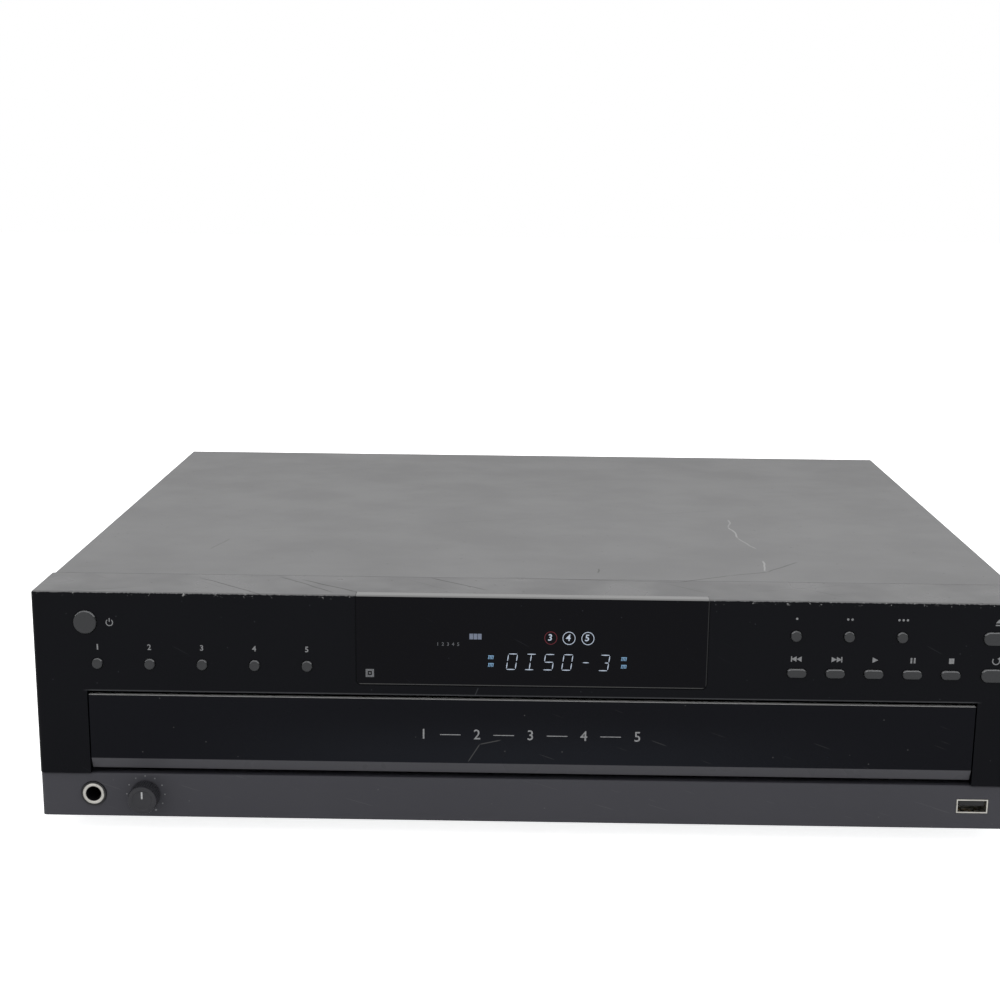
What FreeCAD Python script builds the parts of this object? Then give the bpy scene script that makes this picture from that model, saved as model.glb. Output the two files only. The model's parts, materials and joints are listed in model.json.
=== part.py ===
import FreeCAD, Part
import math
import os

# Five-disc carousel changer, millimetres. +X is the viewer's right, -Y the front, +Z up.
# The origin is the middle of the overall box, on the surface that the feet stand on.

# Casing
WIDTH = 430.0
HEIGHT = 110.0
BODY_DEPTH = 383.0          # front face to the outside of the rear panel
KNOB_PROUD = 8.0            # level knob ahead of the front face
JACK_PROUD = 9.0            # output jacks behind the rear panel
FOOT_HEIGHT = 9.0
FOOT_R = 17.0
FOOT_INSET = 48.0
FOOT_TAPER = 2.0            # foot narrower at the ground, each side
SHEET = 0.8                 # cover steel
PLATE = 1.0                 # bottom plate and rear panel steel
SCREW_HEAD = 1.0
SCREW_R = 1.5
SCREW_HEAD_R = 3.6
SCREW_L = 6.0
SCREW_CROSS = (2.2, 0.6, 0.5)     # half length, half width and depth of the driver recess
SEAM = 0.3                  # visible joint between mouldings
FACE_T = 3.0                # front moulding
LIP_DEPTH = 36.0            # front moulding wraps over the top by this much
LIP_T = 2.5
END_POST = 22.4             # moulding beside the tray door
LOWER_TOP = 27.9            # top of the lower front panel
LOWER_SETBACK = 1.0
LOWER_T = 3.0
SKIRT = 0.9                 # lower front panel hangs this far below the bottom plate
LOWER_EDGE_R = 0.8
LEDGE_DEPTH = 14.0
LEDGE_T = 1.5
EDGE_R = 1.2                # top front edge
CORNER_R = 2.0              # upright front corners
COVER_EDGE_R = 1.6          # long top edges of the cover
COVER_LIFT = 0.5            # cover's lower edge above the bottom plate's underside
BROW_R = 0.8                # lower edge of the upper front panel
FLANGE_H = 14.0
REAR_HEM = 10.0
VENT_PITCH = 9.0
VENT_L = 26.0
VENT_W = 3.0
VENT_COUNT = 12             # slots in each row of the bottom plate
VENT_ROW_X = WIDTH / 4 + 20.0
REAR_VENT_X = (-60.0, 0.0, 60.0)
REAR_VENT_Z = (84.0, 91.0)
REAR_VENT_L = 40.0
REAR_VENT_W = 3.0
HOLE_CLEAR = 0.2

# Tray door
DOOR_LOW = 30.2
DOOR_HIGH = 64.1
DOOR_STRIP = 5.0            # sloping strip along the bottom of the door
DOOR_SLOPE = 2.4            # how far the strip leans back
DOOR_EDGE_R = 0.8
DOOR_T = 4.0
DOOR_GAP = 0.6
UPPER_LOW = 65.6            # bottom edge of the upper front panel

# Display window
WINDOW_W = 150.9
WINDOW_LOW = 70.6
WINDOW_RETURN = 6.2
WINDOW_T = 2.0
WINDOW_LEDGE = 5.0
WINDOW_CORNER = 2.0
WINDOW_BEVEL = 0.35         # step around the window's seat
TUBE_W = 124.0
TUBE_H = 25.0
TUBE_T = 10.0

# Front controls
BUTTON_R = 2.25
BUTTON_PROUD = 1.2
BUTTON_CLEAR = 0.25
BUTTON_FLANGE = 1.6         # flange wider than the cap, each side
BUTTON_FLANGE_T = 1.0
BUTTON_TRAVEL = 0.7
BUTTON_EDGE_R = 0.35
STEM_R = 1.2
STEM_GAP = 0.3              # between the stem and its switch, less the travel
SWITCH_T = 3.2
SWITCH_W = 6.0
BOARD_T = 1.6
BOARD_BACK = 16.0           # front face of the display board behind the front face
DISC_ROW_Z = HEIGHT - 31.8
UPPER_ROW_Z = HEIGHT - 15.4
DISC_BUTTON_X = -96.8       # the fifth disc button
DISC_BUTTON_PITCH = 22.66
OPTION_X = 113.0            # the first option button
PILL_X = 114.0              # the first of the five long buttons
PILL_PITCH = 16.5
PILL_W = 8.2
PILL_H = 3.7
WIDE_W = 12.0
WIDE_H = 5.6
WIDE_X = WIDTH / 2 - 16.0
POWER_X = -WIDTH / 2 + 23.0
POWER_Z = HEIGHT - 13.5
POWER_R = 5.0
LOW_ROW_Z = 18.4
PHONES_X = -WIDTH / 2 + 23.0
PHONES_BORE_R = 3.3
PHONES_BUSH_R = 5.5
PHONES_BUSH_PROUD = 0.6
PHONES_BODY = (16.0, 24.0, 15.0)  # width, depth, height
PHONES_DEPTH = 18.0         # plug bore, behind the panel
KNOB_X = -WIDTH / 2 + 46.0
KNOB_R = 6.5
KNOB_EDGE_R = 0.6
KNOB_GAP = 0.5              # between the grip and the panel
KNOB_MARK = (0.4, 0.4, 2.0) # pointer groove: half width, depth, start from the axis
POT_SHAFT_R = 3.0
POT_SHAFT_L = 8.5           # shaft inside the potentiometer
POT_BODY = (16.0, 11.0, 15.0)     # width, depth, height
USB_X = WIDTH / 2 - 21.0
USB_W = 12.5
USB_H = 5.1
USB_WALL = 0.6
USB_DEPTH = 16.0
USB_TONGUE_T = 1.9
PILL_NAMES = ("skip_back_button", "skip_forward_button", "play_button", "pause_button", "stop_button")
BOARD_POSTS = (-205.0, -85.0, 85.0, 185.0)
BOARD_HIGH = HEIGHT - 5.0

# Disc table
DISC_R = 60.0
POCKET_CLEAR = 0.6
POCKET_GAP = 3.0            # between neighbouring pockets
TABLE_RIM = 9.0
POCKETS = 5
TABLE_TOP = 49.0
TABLE_T = 4.5
POCKET_DEPTH = 2.0
SMALL_DISC_R = 40.5
SMALL_DEPTH = 0.8
SLOT_HALF = 19.0
TOOTH_REACH = 3.5           # pitch circle of the edge teeth inside the table's edge
TABLE_FRONT_GAP = 6.0
TABLE_GEAR_TEETH = 20
TABLE_MODULE = 2.0
RIM_TEETH_H = 2.0           # toothed lower part of the table's edge
TABLE_SHAFT_R = 4.0
HUB_R = 14.0
CAP_R = 19.0
CAP_H = 4.5
CAP_EDGE_R = 1.5
TABLE_EDGE_R = 0.8
HUB_SEAT = 0.3

# Tray
TRAY_TRAVEL = 205.0
TRAY_FLOOR = 35.0
TRAY_T = 2.5
WELL_CLEAR = 1.5
TRAY_WALL = 3.0
RUNNER_W = 4.0
RUNNER_Z = 38.0
RUNNER_T = 3.0
RUNNER_END = 120.0          # rear end of the runners
RAIL_T = 5.5
RUN_CLEAR = 0.3             # gap between sliding mouldings
FIT_CLEAR = 0.06            # radial gap of a shaft in its bore
BAY_HALF = 40.0             # rear slot of the tray, above the optical unit
GEAR_BAY = 3.5              # room around the table's gear
BOSS_GAP = 0.2
RACK_SPARE = 14.0           # rack longer than the travel
TABLE_MOTOR_DROP = 5.8      # motor below the tray's floor
TABLE_MOTOR_RISE = 0.8
AXLE_R = 1.0                # motor and gear shafts
SLOT_END = 3.5              # slot's end inside the pitch circle

# Loading gear train
DECK_T = 2.5
RACK_MODULE = 1.25
PINION_TEETH = 20
PINION_INSET = 20.0         # pinion axis inside the tray's edge
PINION_BACK = 32.0          # pinion axis behind the front face
RACK_H = 6.0
RACK_W = 6.0
TRAIN_MODULE = 1.0
WHEEL_TEETH = 36
DRIVER_TEETH = 12
PULLEY_R = 18.0
MOTOR_PULLEY_R = 4.5
BELT_T = 1.4
PULLEY_LOW = 13.0
PULLEY_H = 4.5
MOTOR_SPAN = 60.0           # loading motor from the pinion axis
MOTOR_R = 12.0
POST_R = 2.5
PULLEY_FLANGE = 1.2         # flange beyond the belt's line
PULLEY_WALL = 1.0
WHEEL_T = 5.0
WHEEL_LIFT = 3.0            # wheel above the pulley's top
PINION_NECK_R = 8.0
DRIVER_H = 9.0
MOTOR_LEG_T = 2.0
MOTOR_LEG_W = 10.0
RIB_T = 2.0
RIB_H = 7.0
DECK_SCREW_R = 1.6
RAIL_OVER = 3.0             # rail wall above the runner
GEAR_SLACK = 0.3            # taken off each tooth's width at the pitch line
PRESSURE = math.radians(20)

# Optical unit, at its lowered position
LIFT_TRAVEL = 15.0
CAM_TRAVEL = 30.0
LIFT_HALF = 48.0
LIFT_LOW = 11.5
LIFT_T = 6.5
LIFT_BAR = 8.0
BASE_HALF = 36.0
BASE_LOW = 26.5
BASE_T = 2.0
DISC_SEAT = 38.0            # where a disc seats on the spindle, lowered
LENS_INNER = 23.0           # lens centre from the spindle at the innermost track
SLED_TRAVEL = 34.0
ROD_X = 17.0
ROD_Z = 22.5
ROD_R = 1.5
ROD_Y = (5.0, 82.5)         # ends of the guide rods behind the spindle
SLED_MODULE = 0.8
SLED_TEETH = 16
SLED_LOW = 20.2             # underside of the sled's rack
SLED_HIGH = 24.0
SLED_HALF = 20.0
SLED_Y = (-9.5, 13.5)       # ends of the sled about the lens
SLED_MOTOR_R = 6.4
LENS_R = 2.5
CAM_PINS = (-15.0, 30.0)
CAM_PIN_Z = 16.0
CAM_PIN_R = 1.5
CAM_T = 4.0
GUIDE_R = 3.0
CONE_R = 7.3
CONE_TOP_R = 5.0
SEAT_R = 14.5
SEAT_T = 3.5
PUCK_NECK_R = 8.0
PUCK_R = 15.0
PUCK_T = 5.0
PUCK_TOP_R = 12.0
PUCK_TOP_T = 1.7
PUCK_DIMPLE = 3.8
PAD = 12.0
ISOLATOR_R = 4.0
BRIDGE_Z = 60.0
BRIDGE_T = 3.0
BRIDGE_HALF_Y = 20.0
BRIDGE_LEG = 6.0
BRIDGE_RIB = (2.0, 4.0)     # thickness, height

# Electronics and sockets
MAIN_BOARD_Z = 72.0
JACK_X = 150.0
JACK_PITCH = 14.0
JACK_R = 4.15
OPTICAL_X = 118.0
OPTICAL_W = 9.7
GLAND_Z = 30.0
GLAND_R = 5.5
GLAND_BORE = 3.2
GLAND_PROUD = 5.0
JACK_BORE_R = 1.65
JACK_HALF = 7.0             # half width of the jacks' housing
JACK_BODY = 12.0            # depth of the sockets inside the panel
CHIP_T = 2.0
CAN_H = 12.0
CAN_R = 4.0
CORE_H = 46.0
COIL_LOW = 10.0
COIL_HIGH = 36.0

# Worked-out places
X_END = WIDTH / 2
OVERALL_DEPTH = KNOB_PROUD + BODY_DEPTH + JACK_PROUD
FRONT = -OVERALL_DEPTH / 2 + KNOB_PROUD
BACK = FRONT + BODY_DEPTH
COVER_FRONT = FRONT + LIP_DEPTH
COVER_HALF = X_END - SCREW_HEAD
INNER_HALF = COVER_HALF - SHEET
PLATE_TOP = FOOT_HEIGHT + PLATE
DECK_TOP = PLATE_TOP + DECK_T
DOOR_HALF = X_END - END_POST - DOOR_GAP
BOARD_Y = FRONT + BOARD_BACK
POCKET_R = DISC_R + POCKET_CLEAR
POCKET_RING = (2 * POCKET_R + POCKET_GAP) / (2 * math.sin(math.pi / POCKETS))
TABLE_R = POCKET_RING + POCKET_R + TABLE_RIM
TABLE_Y = FRONT + DOOR_T + TABLE_FRONT_GAP + TABLE_R
TABLE_LOW = TABLE_TOP - TABLE_T
SPINDLE_Y = TABLE_Y + POCKET_RING
TRAY_TOP = TRAY_FLOOR + TRAY_T
WELL_R = TABLE_R + WELL_CLEAR
TRAY_HALF = WELL_R + TRAY_WALL + 0.25
PINION_X = TRAY_HALF - PINION_INSET
MOTOR_X = PINION_X - MOTOR_SPAN
PINION_Y = FRONT + PINION_BACK
PINION_R = RACK_MODULE * PINION_TEETH / 2
WHEEL_R = TRAIN_MODULE * WHEEL_TEETH / 2
DRIVER_R = TRAIN_MODULE * DRIVER_TEETH / 2
DRIVER_X = PINION_X - (WHEEL_R + DRIVER_R) * math.cos(math.radians(30))
DRIVER_Y = PINION_Y + (WHEEL_R + DRIVER_R) * math.sin(math.radians(30))
TABLE_GEAR_R = TABLE_MODULE * TABLE_GEAR_TEETH / 2
TABLE_TEETH = int(2 * (TABLE_R - TOOTH_REACH) / TABLE_MODULE)
TABLE_PITCH_R = TABLE_MODULE * TABLE_TEETH / 2
CORNER = math.radians(225)
TABLE_GEAR_X = (TABLE_PITCH_R + TABLE_GEAR_R) * math.cos(CORNER)
TABLE_GEAR_Y = TABLE_Y + (TABLE_PITCH_R + TABLE_GEAR_R) * math.sin(CORNER)
LIFT_FRONT = SPINDLE_Y - 30.0
LIFT_REAR = SPINDLE_Y + 90.0
BASE_FRONT = SPINDLE_Y - 22.0
BASE_REAR = SPINDLE_Y + 84.0
SLED_R = SLED_MODULE * SLED_TEETH / 2
SLED_RACK_X = -24.0
SLED_GEAR_X = SLED_RACK_X - SLED_R
SLED_GEAR_Y = SPINDLE_Y + 39.5
FOOT_X = X_END - 45.0
JACK_LOW_Z = MAIN_BOARD_Z + 8.0
GLAND_X = -WIDTH / 2 + 30.0
REAR_SCREW_X = (-190.0, 0.0, 190.0)
REAR_SCREW_Z = HEIGHT - 5.6
SIDE_SCREW_Y = (FRONT + 75.0, BACK - 60.0)
SIDE_SCREW_Z = PLATE_TOP + FLANGE_H / 2
BOARD_LOW = UPPER_LOW + 3.4
RAIL_INNER = TRAY_HALF + RUN_CLEAR
BRIDGE_POST_X = RAIL_INNER + 13.7
TRANSFORMER_X0 = -WIDTH / 2 + 7.0
TRANSFORMER_X1 = TRANSFORMER_X0 + 58.0
TRANSFORMER_Y0 = BACK - 58.0
MOTOR_Y = DRIVER_Y
GUIDE_X = LIFT_HALF + 6.0
GUIDE_Y = SPINDLE_Y + 30.0
PUCK_LOW = DISC_SEAT + LIFT_TRAVEL + 1.5


# Shapes

def box(x0, x1, y0, y1, z0, z1):
    return Part.makeBox(x1 - x0, y1 - y0, z1 - z0, FreeCAD.Vector(x0, y0, z0))


def post(x, y, z0, z1, r):
    return Part.makeCylinder(r, z1 - z0, FreeCAD.Vector(x, y, z0), FreeCAD.Vector(0, 0, 1))


def rod_y(x, z, y0, y1, r):
    return Part.makeCylinder(r, y1 - y0, FreeCAD.Vector(x, y0, z), FreeCAD.Vector(0, 1, 0))


def rod_x(y, z, x0, x1, r):
    return Part.makeCylinder(r, x1 - x0, FreeCAD.Vector(x0, y, z), FreeCAD.Vector(1, 0, 0))


def cone(x, y, z0, z1, r0, r1):
    return Part.makeCone(r0, r1, z1 - z0, FreeCAD.Vector(x, y, z0), FreeCAD.Vector(0, 0, 1))


def prism(points, along):
    corners = [FreeCAD.Vector(*p) for p in points]
    face = Part.Face(Part.makePolygon(corners + corners[:1]))
    return face.extrude(FreeCAD.Vector(*along))


def profile_x(points, x0, x1):
    # A (y, z) outline drawn out from x0 to x1.
    return prism([(x0, y, z) for y, z in points], (x1 - x0, 0, 0))


def join(shapes):
    shape = shapes[0]
    if len(shapes) > 1:
        shape = shape.fuse(shapes[1:])
    return shape.removeSplitter()


def cut(shape, tools):
    return shape.cut(tools)


def round_edges(shape, radius, wanted):
    edges = [e for e in shape.Edges if wanted(e)]
    return shape.makeFillet(radius, edges) if edges else shape


def runs_along(edge, axis):
    d = edge.Vertexes[-1].Point.sub(edge.Vertexes[0].Point)
    return abs(abs(d.dot(FreeCAD.Vector(*axis))) - d.Length) < 1e-6


def pill(x, z, y0, y1, width, height):
    # A bar along Y with a slot-shaped section.
    half = (width - height) / 2
    ends = [rod_y(x - half, z, y0, y1, height / 2), rod_y(x + half, z, y0, y1, height / 2)]
    return join([box(x - half, x + half, y0, y1, z - height / 2, z + height / 2)] + ends)


def polar(cx, cy, radius, angle):
    return cx + radius * math.cos(angle), cy + radius * math.sin(angle)


def involute(angle):
    return math.tan(angle) - angle


def gear(cx, cy, z0, z1, module, teeth, phase):
    # A spur gear with a tooth centred on the angle phase, in degrees.
    pitch_r = module * teeth / 2
    base_r = pitch_r * math.cos(PRESSURE)
    root_r = pitch_r - 1.25 * module
    tip_r = pitch_r + 0.95 * module
    half = (math.pi * module / 2 - GEAR_SLACK) / (2 * pitch_r)

    def half_angle(r):
        lean = math.acos(base_r / max(r, base_r))
        return half + involute(PRESSURE) - involute(lean)

    radii = [root_r, max(root_r, base_r) + 0.05 * module, pitch_r, tip_r]
    points = []
    for i in range(teeth):
        middle = math.radians(phase) + 2 * math.pi * i / teeth
        for r in radii:
            points.append(polar(cx, cy, r, middle - half_angle(r)) + (z0,))
        for r in reversed(radii):
            points.append(polar(cx, cy, r, middle + half_angle(r)) + (z0,))
    return prism(points, (0, 0, z1 - z0))


def rack(pitch_x, side, y0, teeth, z0, z1, module, back_x):
    # A rack along Y whose teeth point towards side (+1 or -1); y0 is the centre of its first tooth.
    pitch = math.pi * module
    half = (pitch / 2 - GEAR_SLACK) / 2
    lean = math.tan(PRESSURE)
    tip = 0.95 * module
    root = 1.25 * module
    root_x = pitch_x - side * root
    tip_x = pitch_x + side * tip
    points = [(back_x, y0 - pitch / 2, z0), (root_x, y0 - pitch / 2, z0)]
    for i in range(teeth):
        middle = y0 + i * pitch
        points.append((root_x, middle - half - root * lean, z0))
        points.append((tip_x, middle - half + tip * lean, z0))
        points.append((tip_x, middle + half - tip * lean, z0))
        points.append((root_x, middle + half + root * lean, z0))
    end = y0 + (teeth - 0.5) * pitch
    points.append((root_x, end, z0))
    points.append((back_x, end, z0))
    return prism(points, (0, 0, z1 - z0))


# Casing shapes

def foot_places():
    return [(x, y) for x in (-FOOT_X, FOOT_X) for y in (FRONT + FOOT_INSET, BACK - FOOT_INSET)]


def feet():
    pads = []
    for x, y in foot_places():
        pad = cone(x, y, 0, FOOT_HEIGHT, FOOT_R - FOOT_TAPER, FOOT_R)
        pads.append(round_edges(pad, 1.0, lambda e: e.BoundBox.ZMax < 0.01))
    return Part.makeCompound(pads)


def vents(x, y0, count, z0, z1):
    # A row of slots along Y, each lying along X.
    half = VENT_L / 2
    tools = []
    for i in range(count):
        y = y0 + i * VENT_PITCH
        tools.append(box(x - half, x + half, y, y + VENT_W, z0, z1))
    return tools


def bottom_plate():
    # A steel plate with side flanges, vented under the disc table.
    floor = box(-INNER_HALF, INNER_HALF, FRONT + FACE_T + LOWER_SETBACK, BACK - PLATE, FOOT_HEIGHT, PLATE_TOP)
    sides = []
    for side in (-1, 1):
        x0, x1 = sorted((side * INNER_HALF, side * (INNER_HALF - PLATE)))
        sides.append(box(x0, x1, COVER_FRONT, BACK - PLATE, PLATE_TOP, PLATE_TOP + FLANGE_H))
    slots = []
    for x in (-VENT_ROW_X, VENT_ROW_X):
        slots += vents(x, TABLE_Y - DISC_R, VENT_COUNT, 0, PLATE_TOP + 1)
    for y in SIDE_SCREW_Y:
        slots.append(rod_x(y, SIDE_SCREW_Z, -INNER_HALF - 1, INNER_HALF + 1, SCREW_R))
    return cut(join([floor] + sides), slots)


def jack_places():
    return [(JACK_X, JACK_LOW_Z), (JACK_X, JACK_LOW_Z + JACK_PITCH)]


def rear_panel():
    # Pierced for the sockets, the cord, the vents and the screws.
    sheet = box(-INNER_HALF, INNER_HALF, BACK - PLATE, BACK, FOOT_HEIGHT, HEIGHT - SHEET)
    holes = [rod_y(x, z, BACK - 5, BACK + 5, JACK_R + HOLE_CLEAR + 2) for x, z in jack_places()]
    reach = OPTICAL_W / 2 + HOLE_CLEAR
    holes.append(box(OPTICAL_X - reach, OPTICAL_X + reach, BACK - 5, BACK + 5,
                     JACK_LOW_Z - reach, JACK_LOW_Z + reach))
    holes.append(rod_y(GLAND_X, GLAND_Z, BACK - 5, BACK + 5, GLAND_R))
    half = REAR_VENT_L / 2
    for x in REAR_VENT_X:
        holes += [box(x - half, x + half, BACK - 5, BACK + 5, z, z + REAR_VENT_W) for z in REAR_VENT_Z]
    holes += [rod_y(x, REAR_SCREW_Z, BACK - 5, BACK + 5, SCREW_R) for x in REAR_SCREW_X]
    return cut(sheet, holes)


def top_cover():
    # A folded sheet: top, both sides and a hem over the rear panel.
    rear = BACK + SHEET
    outer = box(-COVER_HALF, COVER_HALF, COVER_FRONT + SEAM, rear, FOOT_HEIGHT + COVER_LIFT, HEIGHT)
    top_sides = lambda e: runs_along(e, (0, 1, 0)) and e.BoundBox.ZMin > HEIGHT - 1
    outer = round_edges(outer, COVER_EDGE_R, top_sides)
    room = box(-INNER_HALF, INNER_HALF, FRONT, BACK, 0, HEIGHT - SHEET)
    under_hem = box(-COVER_HALF - 1, COVER_HALF + 1, BACK, rear + 1, 0, HEIGHT - REAR_HEM)
    holes = [rod_y(x, REAR_SCREW_Z, BACK - 1, rear + 1, SCREW_R) for x in REAR_SCREW_X]
    for y in SIDE_SCREW_Y:
        holes.append(rod_x(y, SIDE_SCREW_Z, -COVER_HALF - 1, COVER_HALF + 1, SCREW_R))
    return cut(outer, [room, under_hem] + holes)


def screw_along(x, y, z, direction):
    # A pan-head screw whose head sits against the sheet at (x, y, z) and whose shank runs along direction.
    d = FreeCAD.Vector(*direction)
    seat = FreeCAD.Vector(x, y, z)
    head = Part.makeCylinder(SCREW_HEAD_R, SCREW_HEAD, seat.sub(d * SCREW_HEAD), d)
    shank = Part.makeCylinder(SCREW_R - 0.05, SCREW_L, seat, d)
    long, short, groove = SCREW_CROSS
    arms = []
    top = seat.sub(d * SCREW_HEAD)
    for wide, high in ((long, short), (short, long)):
        z0, z1 = z - high, z + high
        if abs(d.y) > 0.5:
            arms.append(box(x - wide, x + wide, top.y - groove, top.y + groove, z0, z1))
        else:
            arms.append(box(top.x - groove, top.x + groove, y - wide, y + wide, z0, z1))
    return head.fuse(shank).cut(arms)


def case_screws():
    screws = [screw_along(x, BACK + SHEET, REAR_SCREW_Z, (0, -1, 0)) for x in REAR_SCREW_X]
    for y in SIDE_SCREW_Y:
        screws.append(screw_along(COVER_HALF, y, SIDE_SCREW_Z, (-1, 0, 0)))
        screws.append(screw_along(-COVER_HALF, y, SIDE_SCREW_Z, (1, 0, 0)))
    return Part.makeCompound(screws)


# Front mouldings

def disc_button_places():
    first = DISC_BUTTON_X - (POCKETS - 1) * DISC_BUTTON_PITCH
    return {f"disc_button_{i + 1}": (first + i * DISC_BUTTON_PITCH, DISC_ROW_Z) for i in range(POCKETS)}


def round_places():
    places = disc_button_places()
    for i in range(3):
        places[f"option_button_{i + 1}"] = (OPTION_X + i * DISC_BUTTON_PITCH, UPPER_ROW_Z)
    return places


def pill_places():
    return {name: (PILL_X + i * PILL_PITCH, DISC_ROW_Z) for i, name in enumerate(PILL_NAMES)}


def wide_places():
    return {"open_close_button": (WIDE_X, UPPER_ROW_Z), "disc_skip_button": (WIDE_X, DISC_ROW_Z)}


def round_button(x, z, r):
    cap = rod_y(x, z, FRONT - BUTTON_PROUD, FRONT + FACE_T + RUN_CLEAR, r)
    cap = round_edges(cap, BUTTON_EDGE_R, lambda e: e.BoundBox.YMax < FRONT - BUTTON_PROUD + 0.01)
    return join([cap] + button_back(x, z, 2 * r, 2 * r))


def slot_button(x, z, width, height):
    cap = pill(x, z, FRONT - BUTTON_PROUD, FRONT + FACE_T + RUN_CLEAR, width, height)
    cap = round_edges(cap, BUTTON_EDGE_R, lambda e: e.BoundBox.YMax < FRONT - BUTTON_PROUD + 0.01)
    return join([cap] + button_back(x, z, width, height))


def button_back(x, z, width, height):
    # The flange that keeps the cap behind the panel, and the stem that reaches its switch.
    flange_y = FRONT + FACE_T + RUN_CLEAR
    w = width + 2 * BUTTON_FLANGE
    h = height + 2 * BUTTON_FLANGE
    switch_y = BOARD_Y - SWITCH_T
    flange = box(x - w / 2, x + w / 2, flange_y, flange_y + BUTTON_FLANGE_T, z - h / 2, z + h / 2)
    stem = rod_y(x, z, flange_y + BUTTON_FLANGE_T, switch_y - BUTTON_TRAVEL - STEM_GAP, STEM_R)
    return [flange, stem]


def button_holes():
    y0 = FRONT - 5
    y1 = FRONT + FACE_T + 1
    holes = [rod_y(x, z, y0, y1, BUTTON_R + BUTTON_CLEAR) for x, z in round_places().values()]
    grow = 2 * BUTTON_CLEAR
    holes += [pill(x, z, y0, y1, PILL_W + grow, PILL_H + grow) for x, z in pill_places().values()]
    holes += [pill(x, z, y0, y1, WIDE_W + grow, WIDE_H + grow) for x, z in wide_places().values()]
    holes.append(rod_y(POWER_X, POWER_Z, y0, y1, POWER_R + BUTTON_CLEAR))
    return holes


def window_outline(grow, y0, y1):
    # A plate as wide as the window, grown by grow, with its two lower corners rounded.
    half = WINDOW_W / 2 + grow
    plate = box(-half, half, y0, y1, WINDOW_LOW - grow, HEIGHT)
    return round_edges(plate, WINDOW_CORNER + grow,
                       lambda e: runs_along(e, (0, 1, 0)) and e.BoundBox.ZMax < HEIGHT - 1)


def display_window():
    front = window_outline(0, FRONT, FRONT + WINDOW_T)
    half = WINDOW_W / 2
    top = box(-half, half, FRONT, FRONT + WINDOW_RETURN, HEIGHT - WINDOW_T, HEIGHT)
    shape = join([front, top])
    return round_edges(shape, EDGE_R, is_front_top)


def is_front_top(edge):
    b = edge.BoundBox
    return b.YMax < FRONT + 0.01 and b.ZMin > HEIGHT - 0.01


def is_mouth_top(edge):
    b = edge.BoundBox
    return runs_along(edge, (1, 0, 0)) and b.YMax < FRONT + 0.01 and abs(b.ZMin - UPPER_LOW) < 0.01


def front_panel():
    # The upper moulding: it wraps over the top, and holds the window, the buttons and the board's pegs.
    low = LOWER_TOP + SEAM
    shell = box(-X_END, X_END, FRONT, COVER_FRONT, low, HEIGHT)
    corners = lambda e: runs_along(e, (0, 0, 1)) and e.BoundBox.YMax < FRONT + 0.01
    shell = round_edges(shell, CORNER_R, corners)
    shell = round_edges(shell, EDGE_R, is_front_top)
    inside = box(-X_END + LIP_T, X_END - LIP_T, FRONT + FACE_T, COVER_FRONT + 1, low - 1, HEIGHT - LIP_T)
    mouth_half = DOOR_HALF + DOOR_GAP
    mouth = box(-mouth_half, mouth_half, FRONT - 1, COVER_FRONT, low - 1, UPPER_LOW)
    recess = window_outline(SEAM / 2, FRONT - 1, FRONT + WINDOW_T + SEAM / 2)
    half = WINDOW_W / 2 + SEAM / 2
    back = FRONT + WINDOW_RETURN + SEAM / 2
    recess_top = box(-half, half, FRONT - 1, back, HEIGHT - WINDOW_T - SEAM / 2, HEIGHT + 1)
    ledge = WINDOW_LEDGE
    view = box(-half + ledge, half - ledge, FRONT - 1, FRONT + FACE_T + 1, WINDOW_LOW + ledge, HEIGHT - ledge)
    step = window_outline(SEAM / 2 + WINDOW_BEVEL, FRONT - 1, FRONT + WINDOW_BEVEL)
    shell = cut(shell, [inside, mouth, recess, recess_top, view, step] + button_holes())
    shell = round_edges(shell, BROW_R, is_mouth_top)
    middle = (DISC_ROW_Z + UPPER_ROW_Z) / 2
    pegs = [rod_y(x, middle, FRONT + FACE_T, BOARD_Y, POST_R) for x in BOARD_POSTS]
    return join([shell] + pegs)


def lower_front_panel():
    front = FRONT + LOWER_SETBACK
    shell = box(-X_END, X_END, front, COVER_FRONT, FOOT_HEIGHT - SKIRT, LOWER_TOP)
    corners = lambda e: runs_along(e, (0, 0, 1)) and e.BoundBox.YMax < front + 0.01
    shell = round_edges(shell, CORNER_R, corners)
    top = lambda e: e.BoundBox.YMax < front + 0.01 and e.BoundBox.ZMin > LOWER_TOP - 0.01
    shell = round_edges(shell, LOWER_EDGE_R, top)
    half = X_END - LIP_T
    inside = box(-half, half, front + LOWER_T, COVER_FRONT + 1, 0, LOWER_TOP + 1)
    floor_room = box(-INNER_HALF, INNER_HALF, front + LOWER_T, COVER_FRONT + 1, 0, PLATE_TOP)
    y1 = front + LOWER_T + 1
    ledge = box(-half, half, front + LOWER_T, front + LEDGE_DEPTH, LOWER_TOP - LEDGE_T, LOWER_TOP)
    holes = [rod_y(PHONES_X, LOW_ROW_Z, front - 1, y1, PHONES_BUSH_R + HOLE_CLEAR)]
    holes.append(rod_y(KNOB_X, LOW_ROW_Z, front - 1, y1, POT_SHAFT_R + 2))
    w = USB_W / 2 + USB_WALL + HOLE_CLEAR
    h = USB_H / 2 + USB_WALL + HOLE_CLEAR
    holes.append(box(USB_X - w, USB_X + w, front - 1, y1, LOW_ROW_Z - h, LOW_ROW_Z + h))
    return join([cut(shell, [inside, floor_room] + holes), ledge])


def phones_jack():
    front = FRONT + LOWER_SETBACK
    back = front + LOWER_T
    width, depth, height = PHONES_BODY
    bush = rod_y(PHONES_X, LOW_ROW_Z, front - PHONES_BUSH_PROUD, back + 1, PHONES_BUSH_R)
    body = box(PHONES_X - width / 2, PHONES_X + width / 2, back, back + depth,
               LOW_ROW_Z - height / 2, LOW_ROW_Z + height / 2)
    bore = rod_y(PHONES_X, LOW_ROW_Z, front - 1, back + PHONES_DEPTH, PHONES_BORE_R)
    return cut(join([bush, body]), [bore])


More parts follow.
